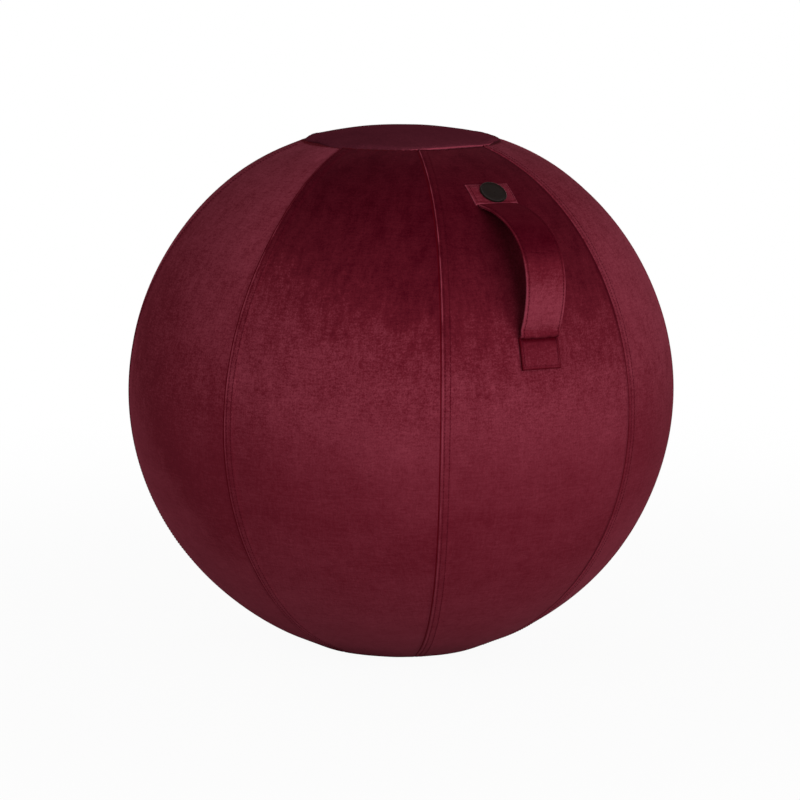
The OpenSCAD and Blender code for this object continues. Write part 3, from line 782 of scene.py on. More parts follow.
def gore_grid(number):
    """Outer and inner grids of one gore, its flat places, and its distances from both seams."""
    outline = outline_of(number)
    rows = np.linspace(0, outline.length, int(outline.length / row_step))
    point, normal = (grid[:, None] for grid in outline.at(rows))
    width = point[..., 0] * gore_angle - 2 * half_ditch
    left = gore_columns(width)
    right = width - left
    angle = angle_on(number, point, left)
    along = np.tile(rows[:, None], (1, left.shape[1]))
    height = gore_relief(left, right, along, number)
    outer = turned(point, normal, angle, height)
    inner = turned(point, normal, angle, np.minimum(height - gore_cloth, -least_depth))
    outer[..., 2] = np.maximum(outer[..., 2], floor_clear)
    inner[..., 2] = np.maximum(inner[..., 2], floor_clear + 0.5)
    # Below the lip the distance to the right seam is kept small, so the painted ditch and tuck shadow run
    # along the top as the lip's shadow.
    past_lip = np.maximum(along - under_disc, 0)
    right = np.minimum(right, 0.4 * past_lip + 1.6 * np.maximum(past_lip - 2, 0))
    return outer, inner, np.stack([left - width / 2, along], -1), np.stack([left, right], -1)


for number in range(1, gore_count + 1):
    outer, inner, flat, edge = gore_grid(number)
    gore = shell(f"velvet_gore_{number}", outer, inner, flat, edge)
    gore.data.materials.append(gore_velvet[number])
    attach(gore, "ball")
    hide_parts(f"gore_panel_{number}")

# %% [markdown]
# ## Stitches
# A topstitch shows as short threads that dive into the cloth at both ends. Each is a slim bent capsule,
# and one helper lays a whole row of them along a line of points, standing on the cloth's own normals.

# %% Stitch helper
thread_radius = 0.28
stitch_length = 3.1
stitch_gap = 0.8
thread_sides = 5
thread_rings = np.array([0.0, 0.08, 0.3, 0.7, 0.92, 1.0])
thread_swell = np.array([0.15, 0.75, 1.0, 1.0, 0.75, 0.15])
thread_lift = np.array([-0.35, -0.02, 0.16, 0.16, -0.02, -0.35])


def tube_faces(count, rings, sides):
    """Faces of several closed tubes, each of rings by sides points."""
    index = np.arange(count * rings * sides).reshape(count, rings, sides)
    a, b = index[:, :-1], index[:, 1:]
    quads = np.stack([a, np.roll(a, -1, -1), np.roll(b, -1, -1), b], -1).reshape(-1, 4)
    caps = np.concatenate([index[:, 0, ::-1], index[:, -1]])
    return [*quads.tolist(), *caps.tolist()]


def stitch_row(line, normals):
    """Points and faces of stitches along a line in millimetres."""
    run = line_run(line)
    starts = np.arange(stitch_gap, run[-1] - stitch_length, stitch_length + stitch_gap)
    where = starts[:, None] + stitch_length * thread_rings
    centre = np.stack([np.interp(where, run, line[:, i]) for i in range(3)], -1)
    up = unit(np.stack([np.interp(where, run, normals[:, i]) for i in range(3)], -1))
    side = unit(np.cross(unit(centre[:, -1:] - centre[:, :1]), up))
    centre = centre + up * thread_lift[:, None]
    turn = np.linspace(0, 2 * math.pi, thread_sides, endpoint=False)
    ring = np.cos(turn)[:, None] * side[:, :, None] + np.sin(turn)[:, None] * up[:, :, None]
    points = centre[:, :, None] + thread_radius * thread_swell[:, None, None] * ring
    return points.reshape(-1, 3), tube_faces(len(starts), len(thread_rings), thread_sides)


def stitched(name, rows):
    """One object from several rows of stitches, each a line and its normals."""
    points, faces, total = [], [], 0
    for line, normals in rows:
        row_points, row_faces = stitch_row(line, normals)
        faces += [[i + total for i in face] for face in row_faces]
        points.append(row_points)
        total += len(row_points)
    return mesh_object(name, np.concatenate(points), faces)


def object_noise(n, scale, detail=2.0):
    """Noise from 0 to 1, fixed to the object, with about scale marks to the metre."""
    place = n.add("ShaderNodeTexCoord").outputs["Object"]
    return n.add("ShaderNodeTexNoise", {"Vector": place, "Scale": scale, "Detail": detail}).outputs["Fac"]


def thread_material():
    """Matt sewing thread, a little uneven in colour, with no gloss even at a grazing angle."""
    material = new_material("burgundy_thread")
    n = Nodes(material.node_tree)
    colour = n.mix(object_noise(n, 900.0, 1.0), (0.052, 0.0015, 0.006, 1), (0.105, 0.008, 0.017, 1))
    return finished(material, {"Base Color": colour, "Roughness": 0.6, "Specular IOR Level": 0.0})


thread = thread_material()
print("thread:", 2 * thread_radius, "mm")

# %% [markdown]
# The two threads of each seam lie in the grooves that the gores' relief already has, so the same relief
# gives their height. They start a little below the disc's lip and stop just short of the gore's lower end.

# %% Seam stitches
stitches_from = under_disc + 7.0
stitches_stop = 2.0
thread_seat = 0.10


def on_gore(number, left):
    """The line and normals of a stitch row, left millimetres from a gore's first seam."""
    outline = outline_of(number)
    rows = np.arange(stitches_from, outline.length - stitches_stop, 1.0)
    point, normal = outline.at(rows)
    width = point[:, 0] * gore_angle - 2 * half_ditch
    height = gore_relief(left, width - left, rows, number)
    angle = angle_on(number, point, left)
    return turned(point, normal, angle, height + thread_seat), swung(normal, angle)


for number in range(1, gore_count + 1):
    seam = stitched(f"topstitch_{number}", [on_gore(number, row) for row in stitch_rows])
    seam.data.materials.append(thread)
    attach(seam, "ball")
print("topstitch rows:", 2 * gore_count)

# %% [markdown]
# ## The top disc
# The crown is closed by a padded round of the same velvet. It is sewn inside out and turned, so its edge
# rolls over the seam as a soft lip. The eight seams below pull the lip down very slightly, and between
# those corners it draws in. Hand sewing is uneven: on one side the edge is turned in further, on another it
# droops, and in front it is full, so each of these has its place round the disc. Along the front of the lip
# a highlight is painted, where the lip catches the light.

# %% Top disc
lip_height = 5.0
lip_radius = 8.5
edge_gap = 0.3
disc_thickness = 2.0
disc_turns = 288
# Places round the disc: degrees, and half the width in radians.
turned_in_at = (165, 0.35)
full_at = (-98, 0.62)
drooping_at = (-148, 0.36)
highlight_at = (-86, 0.72)
# How far its edge draws in between the corners and where it is turned in, as shares of the radius.
drawn_in_share = 0.042
turned_in_share = 0.045
droop_depth = 1.6
drape_height = 0.35
corner_pull = 0.8
seam_z = float(round_at(np.array(math.asin(disc_radius / ball_radius)))[1])
crown_z = float(round_at(np.array(0.0))[1]) + edge_gap
lip_in = disc_radius - edge_gap - lip_radius


def cover_z(radius):
    """Height of the cover under the crown at a radius."""
    return round_at(np.arcsin(radius / ball_radius))[..., 1]


def disc_profile():
    """The disc's outer line from the centre over the lip to the seam, in millimetres."""
    across = np.linspace(0, lip_in, 40)
    dome = np.stack([across, crown_z - (crown_z - seam_z - lip_height) * (across / lip_in) ** 2], -1)
    rolled = np.radians(np.linspace(6, 90, 15))
    roll = np.stack([lip_in + lip_radius * np.sin(rolled), seam_z + lip_height * np.cos(rolled)], -1)
    tuck = [(disc_radius - edge_gap - 0.25, seam_z - 0.6), (disc_radius - edge_gap - 0.9, seam_z - 1.2)]
    return np.concatenate([dome, roll, tuck])


def round_bump(angle, degrees, width):
    """A bump at a place round the ball, counted the shorter way round."""
    return bump(np.angle(np.exp(1j * (angle - math.radians(degrees)))), 0, width)


def disc_side(profile, angle):
    """The disc's outer side: drawn in between its corners, gathered, drooping and softly draped."""
    radius = profile[:, :1]
    outer_part = smooth_step(radius, 55, 110)
    corner = 0.5 + 0.5 * np.cos(gore_count * (angle - first_seam))
    gathers = np.sin(46 * angle + 3 * np.sin(5 * angle)) * smooth_step(radius, 98, 112)
    drawn_in = drawn_in_share * (1 - corner) * (1 - round_bump(angle, *full_at))
    drawn_in = drawn_in + turned_in_share * round_bump(angle, *turned_in_at)
    wide = radius * (1 - outer_part * (drawn_in - 0.003 * gathers))
    droop = droop_depth * round_bump(angle, *drooping_at) * smooth_step(radius, 108, 117)
    drape = drape_height * np.sin(radius / 17 + 3 * np.sin(angle)) * smooth_step(radius, 5, 30)
    drape = drape * (1 - outer_part)
    pulled = corner_pull * corner * outer_part * (1 - smooth_step(radius, 112, 117))
    over = profile[:, 1:] - cover_z(radius)
    z = cover_z(wide) + over - droop - pulled + drape + 0.12 * gathers
    return swung(np.stack([wide, z], -1), angle)


def disc_rings():
    """Outer and inner rings of the disc, its flat places, and its distances from the lip, which reach the
    painted highlight only at its front.
    """
    profile = disc_profile()
    angle = np.linspace(0, 2 * math.pi, disc_turns, endpoint=False)
    radius = profile[:, :1]
    outer = disc_side(profile, angle)
    inward = 1 - disc_thickness * 0.8 * smooth_step(radius, lip_in, disc_radius) / np.maximum(radius, 1)
    shrunk = np.stack([inward, inward, np.ones_like(inward)], -1)
    inner = outer * shrunk - [0, 0, disc_thickness * 0.9]
    flat = swung(profile[:, None], angle)[..., :2] + [0, round_cut_middle]
    up_lip = line_run(profile)
    # Away from the front, the distance from the lip is pushed past the ridge, so the highlight is painted
    # on the front of the lip only.
    from_lip = np.abs(up_lip - up_lip[-3])[:, None] * 0.6 + 2.6 * (1 - round_bump(angle, *highlight_at))
    return outer, inner, flat, np.stack([from_lip, from_lip + 100], -1)


def out_and_back(upper, lower):
    """Rings that run out over one side and back under the other."""
    return np.concatenate([upper, lower[::-1]])


outer, inner, flat, edge = disc_rings()
disc = round_solid("velvet_top_disc", out_and_back(outer, inner), out_and_back(flat, flat),
                   out_and_back(edge, edge))
disc.data.materials.append(disc_velvet)
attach(disc, "ball")
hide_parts("top_disc")
print("disc area:", round(cloth_area(outer), 4), "m2")

# %% [markdown]
# ## The foot
# The foot is a flat round of the dark velvet. Moulded dots, which are made last, hold its cloth a little
# off the floor. At the back a strip of it turns up the flank and carries the lower tape of the zip, so
# the strip and the gores above leave a slot that shows the teeth.

# %% Foot
foot_thickness = 1.6
dot_height = 0.4
foot_turns = 192
strip_turns = 160
zip_low = zip_up - zip_window / 2
zip_start = first_seam + 2 * gore_angle
zip_turn = 4 * gore_angle


def band(name, profile, turns, start, turn):
    """A closed profile of radius and height, swept round the axis by turn radians, with flat ends."""
    angles = start + np.linspace(0, turn, turns + 1)[:, None]
    profile = np.asarray(profile, float)
    points = swung(profile, angles)
    rows, cols = points.shape[:2]
    index = np.arange(rows * cols).reshape(rows, cols)
    here, ahead = index[:-1], index[1:]
    faces = np.stack([here, ahead, np.roll(ahead, -1, 1), np.roll(here, -1, 1)], -1).reshape(-1, 4).tolist()
    faces += [index[0, ::-1].tolist(), index[-1].tolist()]
    flat = np.stack([profile[:, 0] * angles, profile[:, 1] + round_cut_middle + 0 * angles], -1)
    maps = {"cut": flat.reshape(-1, 2), "edge": np.full((rows * cols, 2), far_from_seams)}
    return mesh_object(name, points.reshape(-1, 3), faces, maps)


def flank(up, out):
    """A point up millimetres up the flank and out millimetres off it."""
    normal = np.array([flank_dir[1], -flank_dir[0]])
    return tuple(flank_low + up * flank_dir + out * normal)


def foot_rings():
    """Rings of the foot, from its upper side round the edge and under it, and their flat places."""
    top, low, r = foot_thickness, dot_height, foot_radius
    profile = np.array([(0, top), (60, top), (r - 2.0, top), (r - 0.9, 1.2), (r - 0.75, 0.45),
                        (r - 1.1, 0.05), (r - 2.2, 0.05), (r - 3.6, low), (90, low), (60, low),
                        (30, low), (0, low)])
    rings = swung(profile[:, None], np.linspace(0, 2 * math.pi, foot_turns, endpoint=False))
    return rings, rings[..., :2] + [0, round_cut_middle]


rings, flat = foot_rings()
foot = round_solid("velvet_foot", rings, flat, np.full_like(flat, far_from_seams))
strip_profile = [flank(0.6, -0.15), flank(2.5, 0.12), flank(5.0, 0.0), flank(zip_low - 1.2, 0.05),
                 flank(zip_low - 0.3, -0.3), flank(zip_low, -0.9), flank(zip_low - 0.5, -1.45),
                 flank(zip_low - 3, -1.5), flank(2.2, -1.5), flank(0.9, -1.2)]
strip = band("velvet_zip_strip", strip_profile[::-1], strip_turns, zip_start, zip_turn)
for piece in (foot, strip):
    piece.data.materials.append(disc_velvet)
    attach(piece, "ball")
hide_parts("foot_disc")
print("foot radius:", foot_radius, "mm, strip:", round(zip_turn * strip_profile[0][0]), "mm long")

# %% [markdown]
# ## The strap
# The carry strap is a folded velvet sleeve over webbing. It leaves the upper patch, stands out in one
# easy curve, comes back to the ball and is creased flat where it is sewn down. A single line in the
# strap's middle plane holds that path, and the width is laid across it. The strap is sewn on slightly
# askew, so all its points are then turned a little about the middle of the upper patch.

# %% Strap sizes
strap_width = 50.0
strap_thickness = 3.4
strap_gap = 0.3
strap_top = math.radians(41.4)
strap_low = math.radians(71.0)
strap_slant = math.radians(2.2)
patch_width = 55.2
patch_height = 33.0
patch_drop = 1.2
half = strap_thickness / 2


def turn_for(length, polar):
    """The polar angle that a length in millimetres covers at a place on the outline."""
    return length / math.hypot(ball_radius * math.cos(polar), ball_half_height * math.sin(polar))


patch_polar = strap_top - turn_for(patch_height / 2 + patch_drop, strap_top)
patch_middle = round_at(np.array(patch_polar))
slant = np.array(Matrix.Rotation(-strap_slant, 3, Vector((0, -patch_middle[0], patch_middle[1] - girth))))
turning_point = np.array([0, 0, girth])


def askew(points):
    """Points turned by the strap's slant about the middle of the upper patch."""
    return (points - turning_point) @ slant.T + turning_point


print("the patch's middle:", patch_middle.round(1), "mm from the axis and over the floor")

# %% Strap line
strap_reach = 142.0
strap_fall = math.radians(6)
strap_hook = 24.0
strap_hook_fall = math.radians(66)
tongue_up = 27.0
tongue_down = 35.5
strap_step = 0.9
easing_passes = 8

strap_a = round_at(np.array(strap_top), half + strap_gap)
strap_b = round_at(np.array(strap_low), half + strap_gap)
pull_a = strap_a + strap_reach * np.array([math.cos(strap_fall), -math.sin(strap_fall)])
pull_b = strap_b + strap_hook * np.array([math.cos(strap_hook_fall), math.sin(strap_hook_fall)])


def bezier(u):
    """Points of the free length, from its upper end at u = 0 to its lower one at u = 1."""
    u = u[:, None]
    upper_part = (1 - u) ** 3 * strap_a + 3 * (1 - u) ** 2 * u * pull_a
    return upper_part + 3 * (1 - u) * u ** 2 * pull_b + u ** 3 * strap_b


def on_ball(start, length, direction, height):
    """Points that run over the ball from a polar angle, a length in millimetres up (-1) or down (1)."""
    polar = start + direction * np.linspace(0, length, max(3, int(length / 1.5))) / ball_radius
    return round_at(polar, height)


def evenly(line, step):
    """The line again, with points about step apart."""
    run = line_run(line)
    at = np.linspace(0, run[-1], int(run[-1] / step) + 1)
    return np.stack([np.interp(at, run, line[:, i]) for i in (0, 1)], -1)


def softened(line, passes):
    """The line with its corners eased, and its ends held."""
    for _ in range(passes):
        line[1:-1] = 0.25 * line[:-2] + 0.5 * line[1:-1] + 0.25 * line[2:]
    return line


upper_tongue = on_ball(strap_top, tongue_up, -1, 1.1)[::-1]
lower_tongue = on_ball(strap_low, tongue_down, 1, half + 0.25)
raw_line = np.concatenate([upper_tongue[:-2], bezier(np.linspace(0, 1, 120)), lower_tongue[2:]])
flat_line = softened(evenly(raw_line, strap_step), easing_passes)
print("strap rows:", len(flat_line))

# %% [markdown]
# Just above its lower sewn end the strap swells out over the fold, and is then creased flat. Both are moves
# of the line along its own normals, and a painted shadow darkens the velvet in the crease.

# %% Strap fold


def line_normals(line):
    """The outward normals of a line that runs down the ball."""
    ahead = unit(np.gradient(line, axis=0))
    return np.stack([-ahead[:, 1], ahead[:, 0]], -1)


run = line_run(flat_line)
crease_at = run[-1] - tongue_down
swell_height = 3.0
crease_depth = 0.9
fold = swell_height * bump(run, crease_at - 4.2, 3.6) - crease_depth * bump(run, crease_at + 1.0, 1.8)
strap_line = flat_line + fold[:, None] * line_normals(flat_line)
strap_normal = line_normals(strap_line)
strap_run = line_run(strap_line)
sewn_from = strap_run[-1] - tongue_down
print("strap length with its sewn ends:", round(strap_run[-1]), "mm")

# %% [markdown]
# The sleeve is thin under the upper patch, full over the free length and flat again where it is sewn down.
# Both long edges are rounded and topstitched three millimetres in. It is made in two halves that meet in
# the middle of its line.

# %% Strap grid
edge_stitch = 3.2
free_edge = 0.8
strap_crown = 0.25
strap_groove = 0.32
edge_round = 1.6
half_columns = np.array([-1, -0.99, -0.97, -0.94, -0.905, -0.885, -0.872, -0.858, -0.83, -0.76, -0.5,
                         -0.25, 0])
across_columns = np.concatenate([half_columns, -half_columns[-2::-1]])
at_upper = 1 - smooth_step(strap_run, tongue_up - 4, tongue_up + 30)
at_lower = smooth_step(strap_run, sewn_from - 26, sewn_from + 2)
hug = np.maximum(at_upper, at_lower)


def front_place(line_point, x):
    """Points in the strap's middle plane and x to its right become points on the ball's front."""
    return askew(np.stack([x, -line_point[..., 0] + 0 * x, line_point[..., 1] + 0 * x], -1))


def rounded(near, radius):
    """0 at an edge and 1 from radius inwards, along a quarter circle."""
    return np.sqrt(np.clip(1 - (1 - np.clip(near / radius, 0, 1)) ** 2, 0, 1))


def strap_edge_map(run, x, width):
    """Distances from the strap's edges, where its crease counts as an edge too, so that the crease takes
    the painted shadow.
    """
    near = np.minimum(width / 2 - np.abs(x) + 0 * run, strap_run[-1] - run + 0 * x)
    free = 1 - smooth_step(run, crease_at - 1, crease_at + 1)
    fading = 2.0 * smooth_step(np.abs(x), width / 2 - 4, width / 2 - 0.5)
    crease = 0.2 * np.abs(run - crease_at - 3.0) + fading
    return np.stack([near + free_edge, np.minimum(0.45 * near + 100 * free, crease)], -1)


def strap_grid(first, last, width, thickness_at):
    """Outer and inner grids of the band between two rows of the strap's line, and its two maps."""
    line, normal = strap_line[first:last, None], strap_normal[first:last, None]
    run = strap_run[first:last, None]
    x = across_columns[None, :] * width / 2
    thick = thickness_at(run) / 2
    body = thick * (0.12 + 0.88 * rounded(width / 2 - np.abs(x), edge_round))
    groove = strap_groove * bump(np.abs(x), width / 2 - edge_stitch, 0.8)
    drop = x ** 2 / (2 * ball_radius) * hug[first:last, None]
    over = body - groove + strap_crown * (1 - across_columns ** 2) - drop
    under = 0.5 * groove - body - drop
    outer = front_place(line + normal * over[..., None], x + 0 * over)
    inner = front_place(line + normal * under[..., None], x + 0 * over)
    return outer, inner, np.stack([x + 0 * run, run + 0 * x], -1), strap_edge_map(run, x, width)


def strap_thickness_at(run):
    """Thin under the patch, full over the free length, and pinched where it is sewn down."""
    free = smooth_step(run, tongue_up - 3, tongue_up + 3)
    sewn = smooth_step(run, sewn_from - 1, sewn_from + 5)
    pinch = bump(run, sewn_from + 0.6, 1.5)
    return (half + half * free - 0.5 * sewn) * (1 - 0.45 * pinch)


print("strap's columns:", len(across_columns))

# %% Strap halves
middle_row = len(strap_line) // 2
strap_rows = {"upper": (0, middle_row + 1), "lower": (middle_row, len(strap_line))}
# The strap's stroke: millimetres along its line, and the nap there. Its dark upper length, which faces up,
# and its lighter lower length are painted shade, and the dip near 233 mm is a painted shadow under the
# fold.
strap_stroke = [(0, 0.26), (60, 0.22), (80, 0.17), (120, 0.13), (135, 0.25), (150, 0.47), (165, 0.58),
                (182, 0.76), (208, 0.80), (221, 0.60), (229, 0.42), (233, 0.20), (238, 0.38), (246, 0.50),
                (267, 0.58)]
# The strap's rolled edges get a painted highlight, and the painted shadow crimson darkens its crease and
# the outline of its sewn box.
strap_nap = velvet_material("velvet_strap", strap_stroke, feather=10, slub=0.75, ridge=0.4 + free_edge,
                            ditch=1.0, rows=(edge_stitch + free_edge,), glow=low_glow, seam=painted_shadow_crimson)


for name, rows in strap_rows.items():
    outer, inner, flat, edge = strap_grid(*rows, strap_width, strap_thickness_at)
    piece = shell(f"velvet_strap_{name}", outer, inner, flat, edge)
    piece.data.materials.append(strap_nap)
    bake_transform(piece)
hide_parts("strap_upper_end", "strap_grip")
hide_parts("strap_lower_end")
print("strap halves meet at", round(strap_run[middle_row]), "mm")

# %% [markdown]
# Inside the sleeve lies a band of woven webbing, which takes the load. It is the strap again, only
# narrower and thinner, so the same grid makes it. Webbing shows as fine ribs, and a wave texture with a
# little noise gives those without any mesh.

# %% Strap core
core_width = 44.0
core_thickness = 1.4
core_starts = tongue_up + 28
core_stops = sewn_from - 22


def webbing_material(name, light, dark, pitch):
    """Plain woven webbing: ribs across the band and a fine fuzz between them."""
    material = new_material(name)
    n = Nodes(material.node_tree)
    place = n.add("ShaderNodeTexCoord").outputs["Object"]
    wave = n.add("ShaderNodeTexWave", {"Vector": place, "Scale": pitch, "Distortion": 0.6, "Detail": 1.0},
                 wave_type="BANDS", bands_direction="DIAGONAL").outputs["Fac"]
    share = n.plus(n.times(wave, 0.6), n.times(object_noise(n, 1400.0), 0.4))
    return finished(material, {"Base Color": n.mix(share, dark, light), "Roughness": 0.8,
                               "Specular IOR Level": 0.3, "Normal": bumped(n, share, 0.5, 0.0003)})


def row_at(run):
    """The row of the strap's line nearest to a length along it."""
    return int(np.argmin(np.abs(strap_run - run)))


def core_thickness_at(run):
    """The same thickness at every length of the core."""
    return np.full_like(run, core_thickness)


black_webbing = webbing_material("black_webbing", (0.035, 0.035, 0.038, 1), (0.010, 0.010, 0.011, 1), 520.0)
core_rows = {"upper": (row_at(core_starts), middle_row + 1), "lower": (middle_row, row_at(core_stops))}
for name, rows in core_rows.items():
    core = shell(f"strap_core_{name}", *strap_grid(*rows, core_width, core_thickness_at))
    core.data.materials.append(black_webbing)
    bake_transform(core)
    if name == "upper":
        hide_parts("strap_core")
print("core rows:", core_rows)

# %% [markdown]
# Thread runs down both edges of the strap, and two rows across its lower end close the sewn box. Each half
# of the strap has its own threads.

# %% Strap stitches
stitch_x = strap_width / 2 - edge_stitch
cross_points = 60
cross_insets = (edge_stitch, tongue_down - 2.5)


def strap_thread(rows, x):
    """The line and normals of a stitch row through rows of the strap, x millimetres to the right."""
    line, normal = strap_line[rows], strap_normal[rows]
    crown = strap_crown * (1 - (x / (strap_width / 2)) ** 2)
    height = strap_thickness_at(strap_run[rows]) / 2 - 0.05 + crown
    height = height - x ** 2 / (2 * ball_radius) * hug[rows]
    up = np.stack([0 * height, -normal[:, 0], normal[:, 1]], -1)
    return front_place(line + normal * height[:, None], x), up @ slant.T


thread_rows = {"upper": (row_at(tongue_up + 1), middle_row + 1), "lower": (middle_row, len(strap_line) - 2)}
for name, (first, last) in thread_rows.items():
    lines = [strap_thread(np.arange(first, last), np.full(last - first, x)) for x in (-stitch_x, stitch_x)]
    if name == "lower":
        for inset in cross_insets:
            row = len(strap_line) - 1 - int(round(inset / strap_step))
            across = np.linspace(-stitch_x, stitch_x, cross_points)
            lines.append(strap_thread(np.full(cross_points, row), across))
    threads = stitched(f"strap_stitch_{name}", lines)
    threads.data.materials.append(thread)
    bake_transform(threads)
print("strap stitch rows:", thread_rows)

# %% [markdown]
# ## The upper patch and the badge
# A small square of velvet hides the strap's upper end. It lies over the strap's thickness in the middle,
# drops to the gore at its sides, and is stitched round three millimetres in. A plain black badge is
# pressed on its centre. It is bare: only its dished face and raised rim tell it from a button.

# %% Patch
patch_cloth = 1.1
patch_seat = 0.25
under_patch = 1.85
patch_stitch = 3.0
patch_groove = 0.28
patch_rim = np.array([0, 0.15, 0.4, 0.8, 1.4, 2.1, 2.7, 3.1, 3.6])
patch_middle_from = 4.4


def patch_height_at(x, y):
    """How high the patch lies over the gore, over the strap's end and at its own edges."""
    over_strap = 1 - smooth_step(np.abs(x), strap_width / 2 - 0.8, patch_width / 2 - 0.4)
    over_end = 1 - smooth_step(y, patch_height / 2 - 6, patch_height / 2 - 1)
    return patch_seat + (under_patch - patch_seat) * over_strap * over_end


def on_patch(x, y, height):
    """Points and normals over the front gore, x to the right of the patch's middle and y above it."""
    polar = patch_polar - y / ball_radius
    point = round_at(polar)
    slope = unit(round_at(polar + 0.001) - round_at(polar - 0.001))
    normal = np.stack([-slope[..., 1], slope[..., 0]], -1)
    angle = -math.pi / 2 + x / np.maximum(point[..., 0], 1)
    return askew(turned(point, normal, angle, height)), swung(normal, angle) @ slant.T


def eased_edges(count, half_length):
    """Positions across the patch, closer together near both edges."""
    inner = np.linspace(patch_middle_from - half_length, half_length - patch_middle_from, count)
    return np.concatenate([patch_rim - half_length, inner, half_length - patch_rim[::-1]])


def patch_grid():
    """Outer and inner grids of the patch, its flat places, and its distances from its edges."""
    x, y = np.meshgrid(eased_edges(14, patch_width / 2), -eased_edges(9, patch_height / 2))
    near = np.minimum(patch_width / 2 - np.abs(x), patch_height / 2 - np.abs(y))
    groove = patch_groove * bump(near, patch_stitch, 0.7)
    base = patch_height_at(x, y)
    outer = on_patch(x, y, base + patch_cloth * (0.3 + 0.7 * rounded(near, 0.8)) - groove)[0]
    inner = on_patch(x, y, base)[0]
    return outer, inner, np.stack([x, 100 - y], -1), np.stack([near, near + 100], -1)


# The patch's rolled edges get the painted highlight too.
patch_velvet = velvet_material("velvet_patch", [(0, 0.60), (200, 0.60)], slub=0.7, rows=(patch_stitch,))
outer, inner, flat, edge = patch_grid()
patch = shell("velvet_upper_patch", outer, inner, flat, edge)
patch.data.materials.append(patch_velvet)
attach(patch, "ball")
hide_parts("strap_upper_patch")
print("patch:", patch_width, "x", patch_height, "mm")

# %% Patch stitches
side_points = 60


def patch_frame(inset, lift):
    """Four stitched lines round the patch, inset from its edges."""
    w, h = patch_width / 2 - inset, patch_height / 2 - inset
    corners = [(-w, h), (w, h), (w, -h), (-w, -h), (-w, h)]
    rows = []
    for (x0, y0), (x1, y1) in zip(corners, corners[1:]):
        x, y = np.linspace(x0, x1, side_points), np.linspace(y0, y1, side_points)
        rows.append(on_patch(x, y, patch_height_at(x, y) + lift))
    return rows


patch_stitches = stitched("patch_stitch", patch_frame(patch_stitch, patch_cloth - 0.2))
patch_stitches.data.materials.append(thread)
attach(patch_stitches, "ball")
print("patch stitched", patch_stitch, "mm in")

# %% Badge
badge_radius = 16.0
badge_thickness = 2.0
badge_lift = under_patch + patch_cloth + 0.05
badge_turns = 96


def gloss_black():
    """Polished black with a faint haze."""
    material = new_material("badge_black")
    n = Nodes(material.node_tree)
    haze = object_noise(n, 260.0, 4.0)
    colour = n.mix(haze, (0.006, 0.003, 0.002, 1), (0.011, 0.006, 0.005, 1))
    return finished(material, {"Base Color": colour, "Roughness": n.spread(haze, 0.22, 0.38),
                               "Specular IOR Level": 0.03})


def badge_rings():
    """A dished disc with a rounded rim, on the patch's centre and square to it."""
    r, t = badge_radius, badge_thickness
    profile = [(0, 1.72), (r - 11, 1.7), (r - 6, 1.62), (r - 2.4, 1.55), (r - 1.9, 1.66),
               (r - 1.5, t - 0.08), (r - 1.0, t), (r - 0.5, 1.85), (r - 0.12, 1.45), (r, 0.9),
               (r - 0.15, 0.35), (r - 0.7, 0), (r - 8, 0), (0, 0)]
    place, out = on_patch(np.array([0.0]), np.array([0.0]), np.array([badge_lift]))
    right = slant @ [1.0, 0, 0]
    up = np.cross(out[0], right)
    turn = np.linspace(0, 2 * math.pi, badge_turns, endpoint=False)[:, None]
    spoke = np.cos(turn) * right + np.sin(turn) * up
    return np.array([place[0] + p[0] * spoke + p[1] * out[0] for p in profile])


badge = round_solid("bare_badge", badge_rings())
badge.data.materials.append(gloss_black())
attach(badge, "ball")
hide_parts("badge")
print("badge:", 2 * badge_radius, "mm across")

# %% [markdown]
# ## Hard and hidden pieces
# The zip, the valve, the skin and the ring keep their solids, because those are true to size. They only
# need finishes: moulded teeth, enamelled slider, woven tapes, and a slightly bloomed rubbery skin.

# %% Finishes for the solids


def moulded(name, colour, light, rough, scale, coat=0.0):
    """A moulded or enamelled finish with slight clouding and a fine grain."""
    material = new_material(name)
    n = Nodes(material.node_tree)
    cloud = object_noise(n, scale, 3.0)
    grain = object_noise(n, scale * 14)
    edge_lightening = n.smooth(n.add("ShaderNodeNewGeometry").outputs["Pointiness"], 0.52, 0.62)
    rubbed = tuple(min(1, 2.2 * c) for c in light[:3]) + (1,)
    base = n.mix(n.times(edge_lightening, 0.35), n.mix(cloud, colour, light), rubbed)
    return finished(material, {"Base Color": base, "Roughness": n.spread(grain, rough - 0.08, rough + 0.10),
                               "Coat Weight": coat, "Normal": bumped(n, grain, 0.15, 0.0001)})


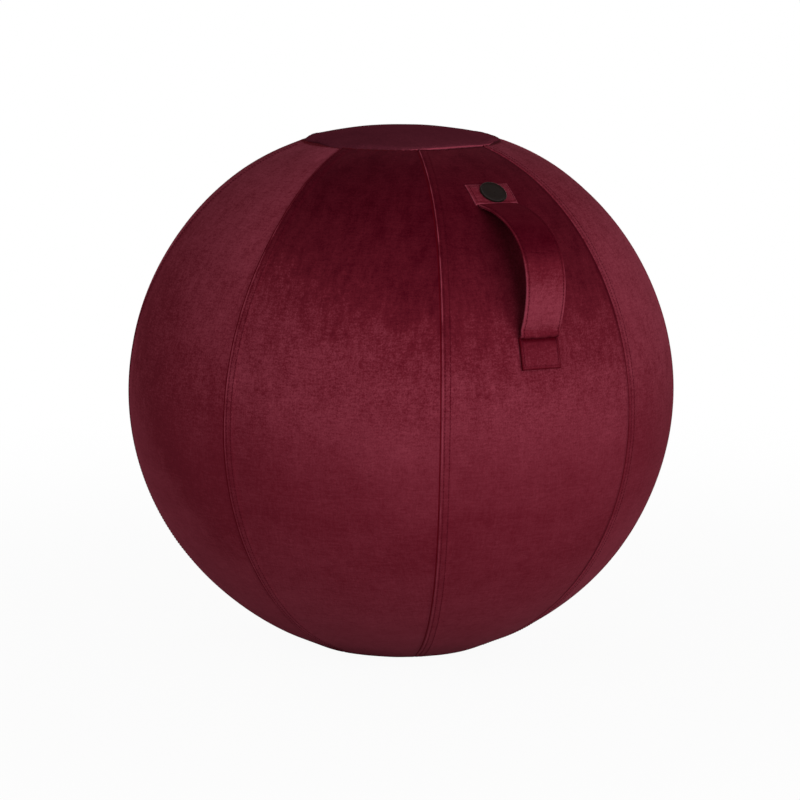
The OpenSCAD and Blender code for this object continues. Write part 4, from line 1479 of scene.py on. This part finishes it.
finishes = {
    moulded("acetal_teeth", (0.020, 0.018, 0.019, 1), (0.034, 0.030, 0.031, 1), 0.38, 90.0):
        ["zip_teeth_gores", "zip_teeth_foot", "zip_bottom_stop", "zip_top_stops"],
    moulded("enamel_black", (0.022, 0.021, 0.022, 1), (0.036, 0.034, 0.035, 1), 0.30, 120.0, 0.3):
        ["zip_slider", "zip_pull"],
    moulded("grey_skin", (0.30, 0.31, 0.33, 1), (0.36, 0.37, 0.39, 1), 0.50, 22.0): ["inner_ball"],
    moulded("valve_rubber", (0.52, 0.52, 0.49, 1), (0.60, 0.60, 0.57, 1), 0.55, 60.0): ["valve_seat"],
    moulded("plug_plastic", (0.72, 0.72, 0.69, 1), (0.80, 0.80, 0.77, 1), 0.28, 60.0): ["valve_plug"],
    moulded("ring_granules", (0.40, 0.32, 0.20, 1), (0.55, 0.45, 0.29, 1), 0.85, 500.0): ["ring_filling"],
    black_webbing: ["zip_tape_gores", "zip_tape_foot", "ring_tube", "backing_upper", "backing_lower"],
}
for finish, names in finishes.items():
    for name in names:
        nodes[name].data.materials.clear()
        nodes[name].data.materials.append(finish)
print("finished solids:", sum(len(v) for v in finishes.values()))

# %% [markdown]
# ## Grip dots
# Moulded dots under the foot keep it from sliding. Each is a low dome that reaches from inside the base
# cloth down to the floor, and holds the cloth a hair above it. They lie in staggered rows, so one loop
# over the rows and columns places them, and keeps those whose centres are well inside the foot's edge.

# %% Grip dots
dot_pitch = 9.0
dotted_radius = 101.0
dot_sides = 10
dot_profile = np.array([(0.4, 0.0), (1.2, 0.06), (1.6, 0.24), (1.6, dot_height + 0.1)])


def dot_places():
    """Centres of the dots in staggered rows, in millimetres."""
    row = dot_pitch * math.sqrt(3) / 2
    count = math.ceil(dotted_radius / row)
    places = np.array([((i + 0.5 * (j % 2)) * dot_pitch, j * row)
                       for j in range(-count, count + 1) for i in range(-count, count + 1)])
    return places[np.linalg.norm(places, axis=1) < dotted_radius]


def dot_points(places):
    """Rings of every dot, from the floor up into the cloth."""
    turn = np.linspace(0, 2 * math.pi, dot_sides, endpoint=False)
    spoke = np.stack([np.cos(turn), np.sin(turn)], -1)
    across = places[:, None, None] + dot_profile[:, 0][:, None, None] * spoke
    up = np.broadcast_to(dot_profile[:, 1][:, None, None], across.shape[:-1] + (1,))
    return np.concatenate([across, up], -1).reshape(-1, 3)


dots_at = dot_places()
dots = mesh_object("grip_dots", dot_points(dots_at), tube_faces(len(dots_at), len(dot_profile), dot_sides))
dot_rubber = moulded("dot_rubber", (0.030, 0.027, 0.028, 1), (0.046, 0.042, 0.043, 1), 0.50, 80.0)
dots.data.materials.append(dot_rubber)
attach(dots, "ball")
print("grip dots:", len(dots_at))
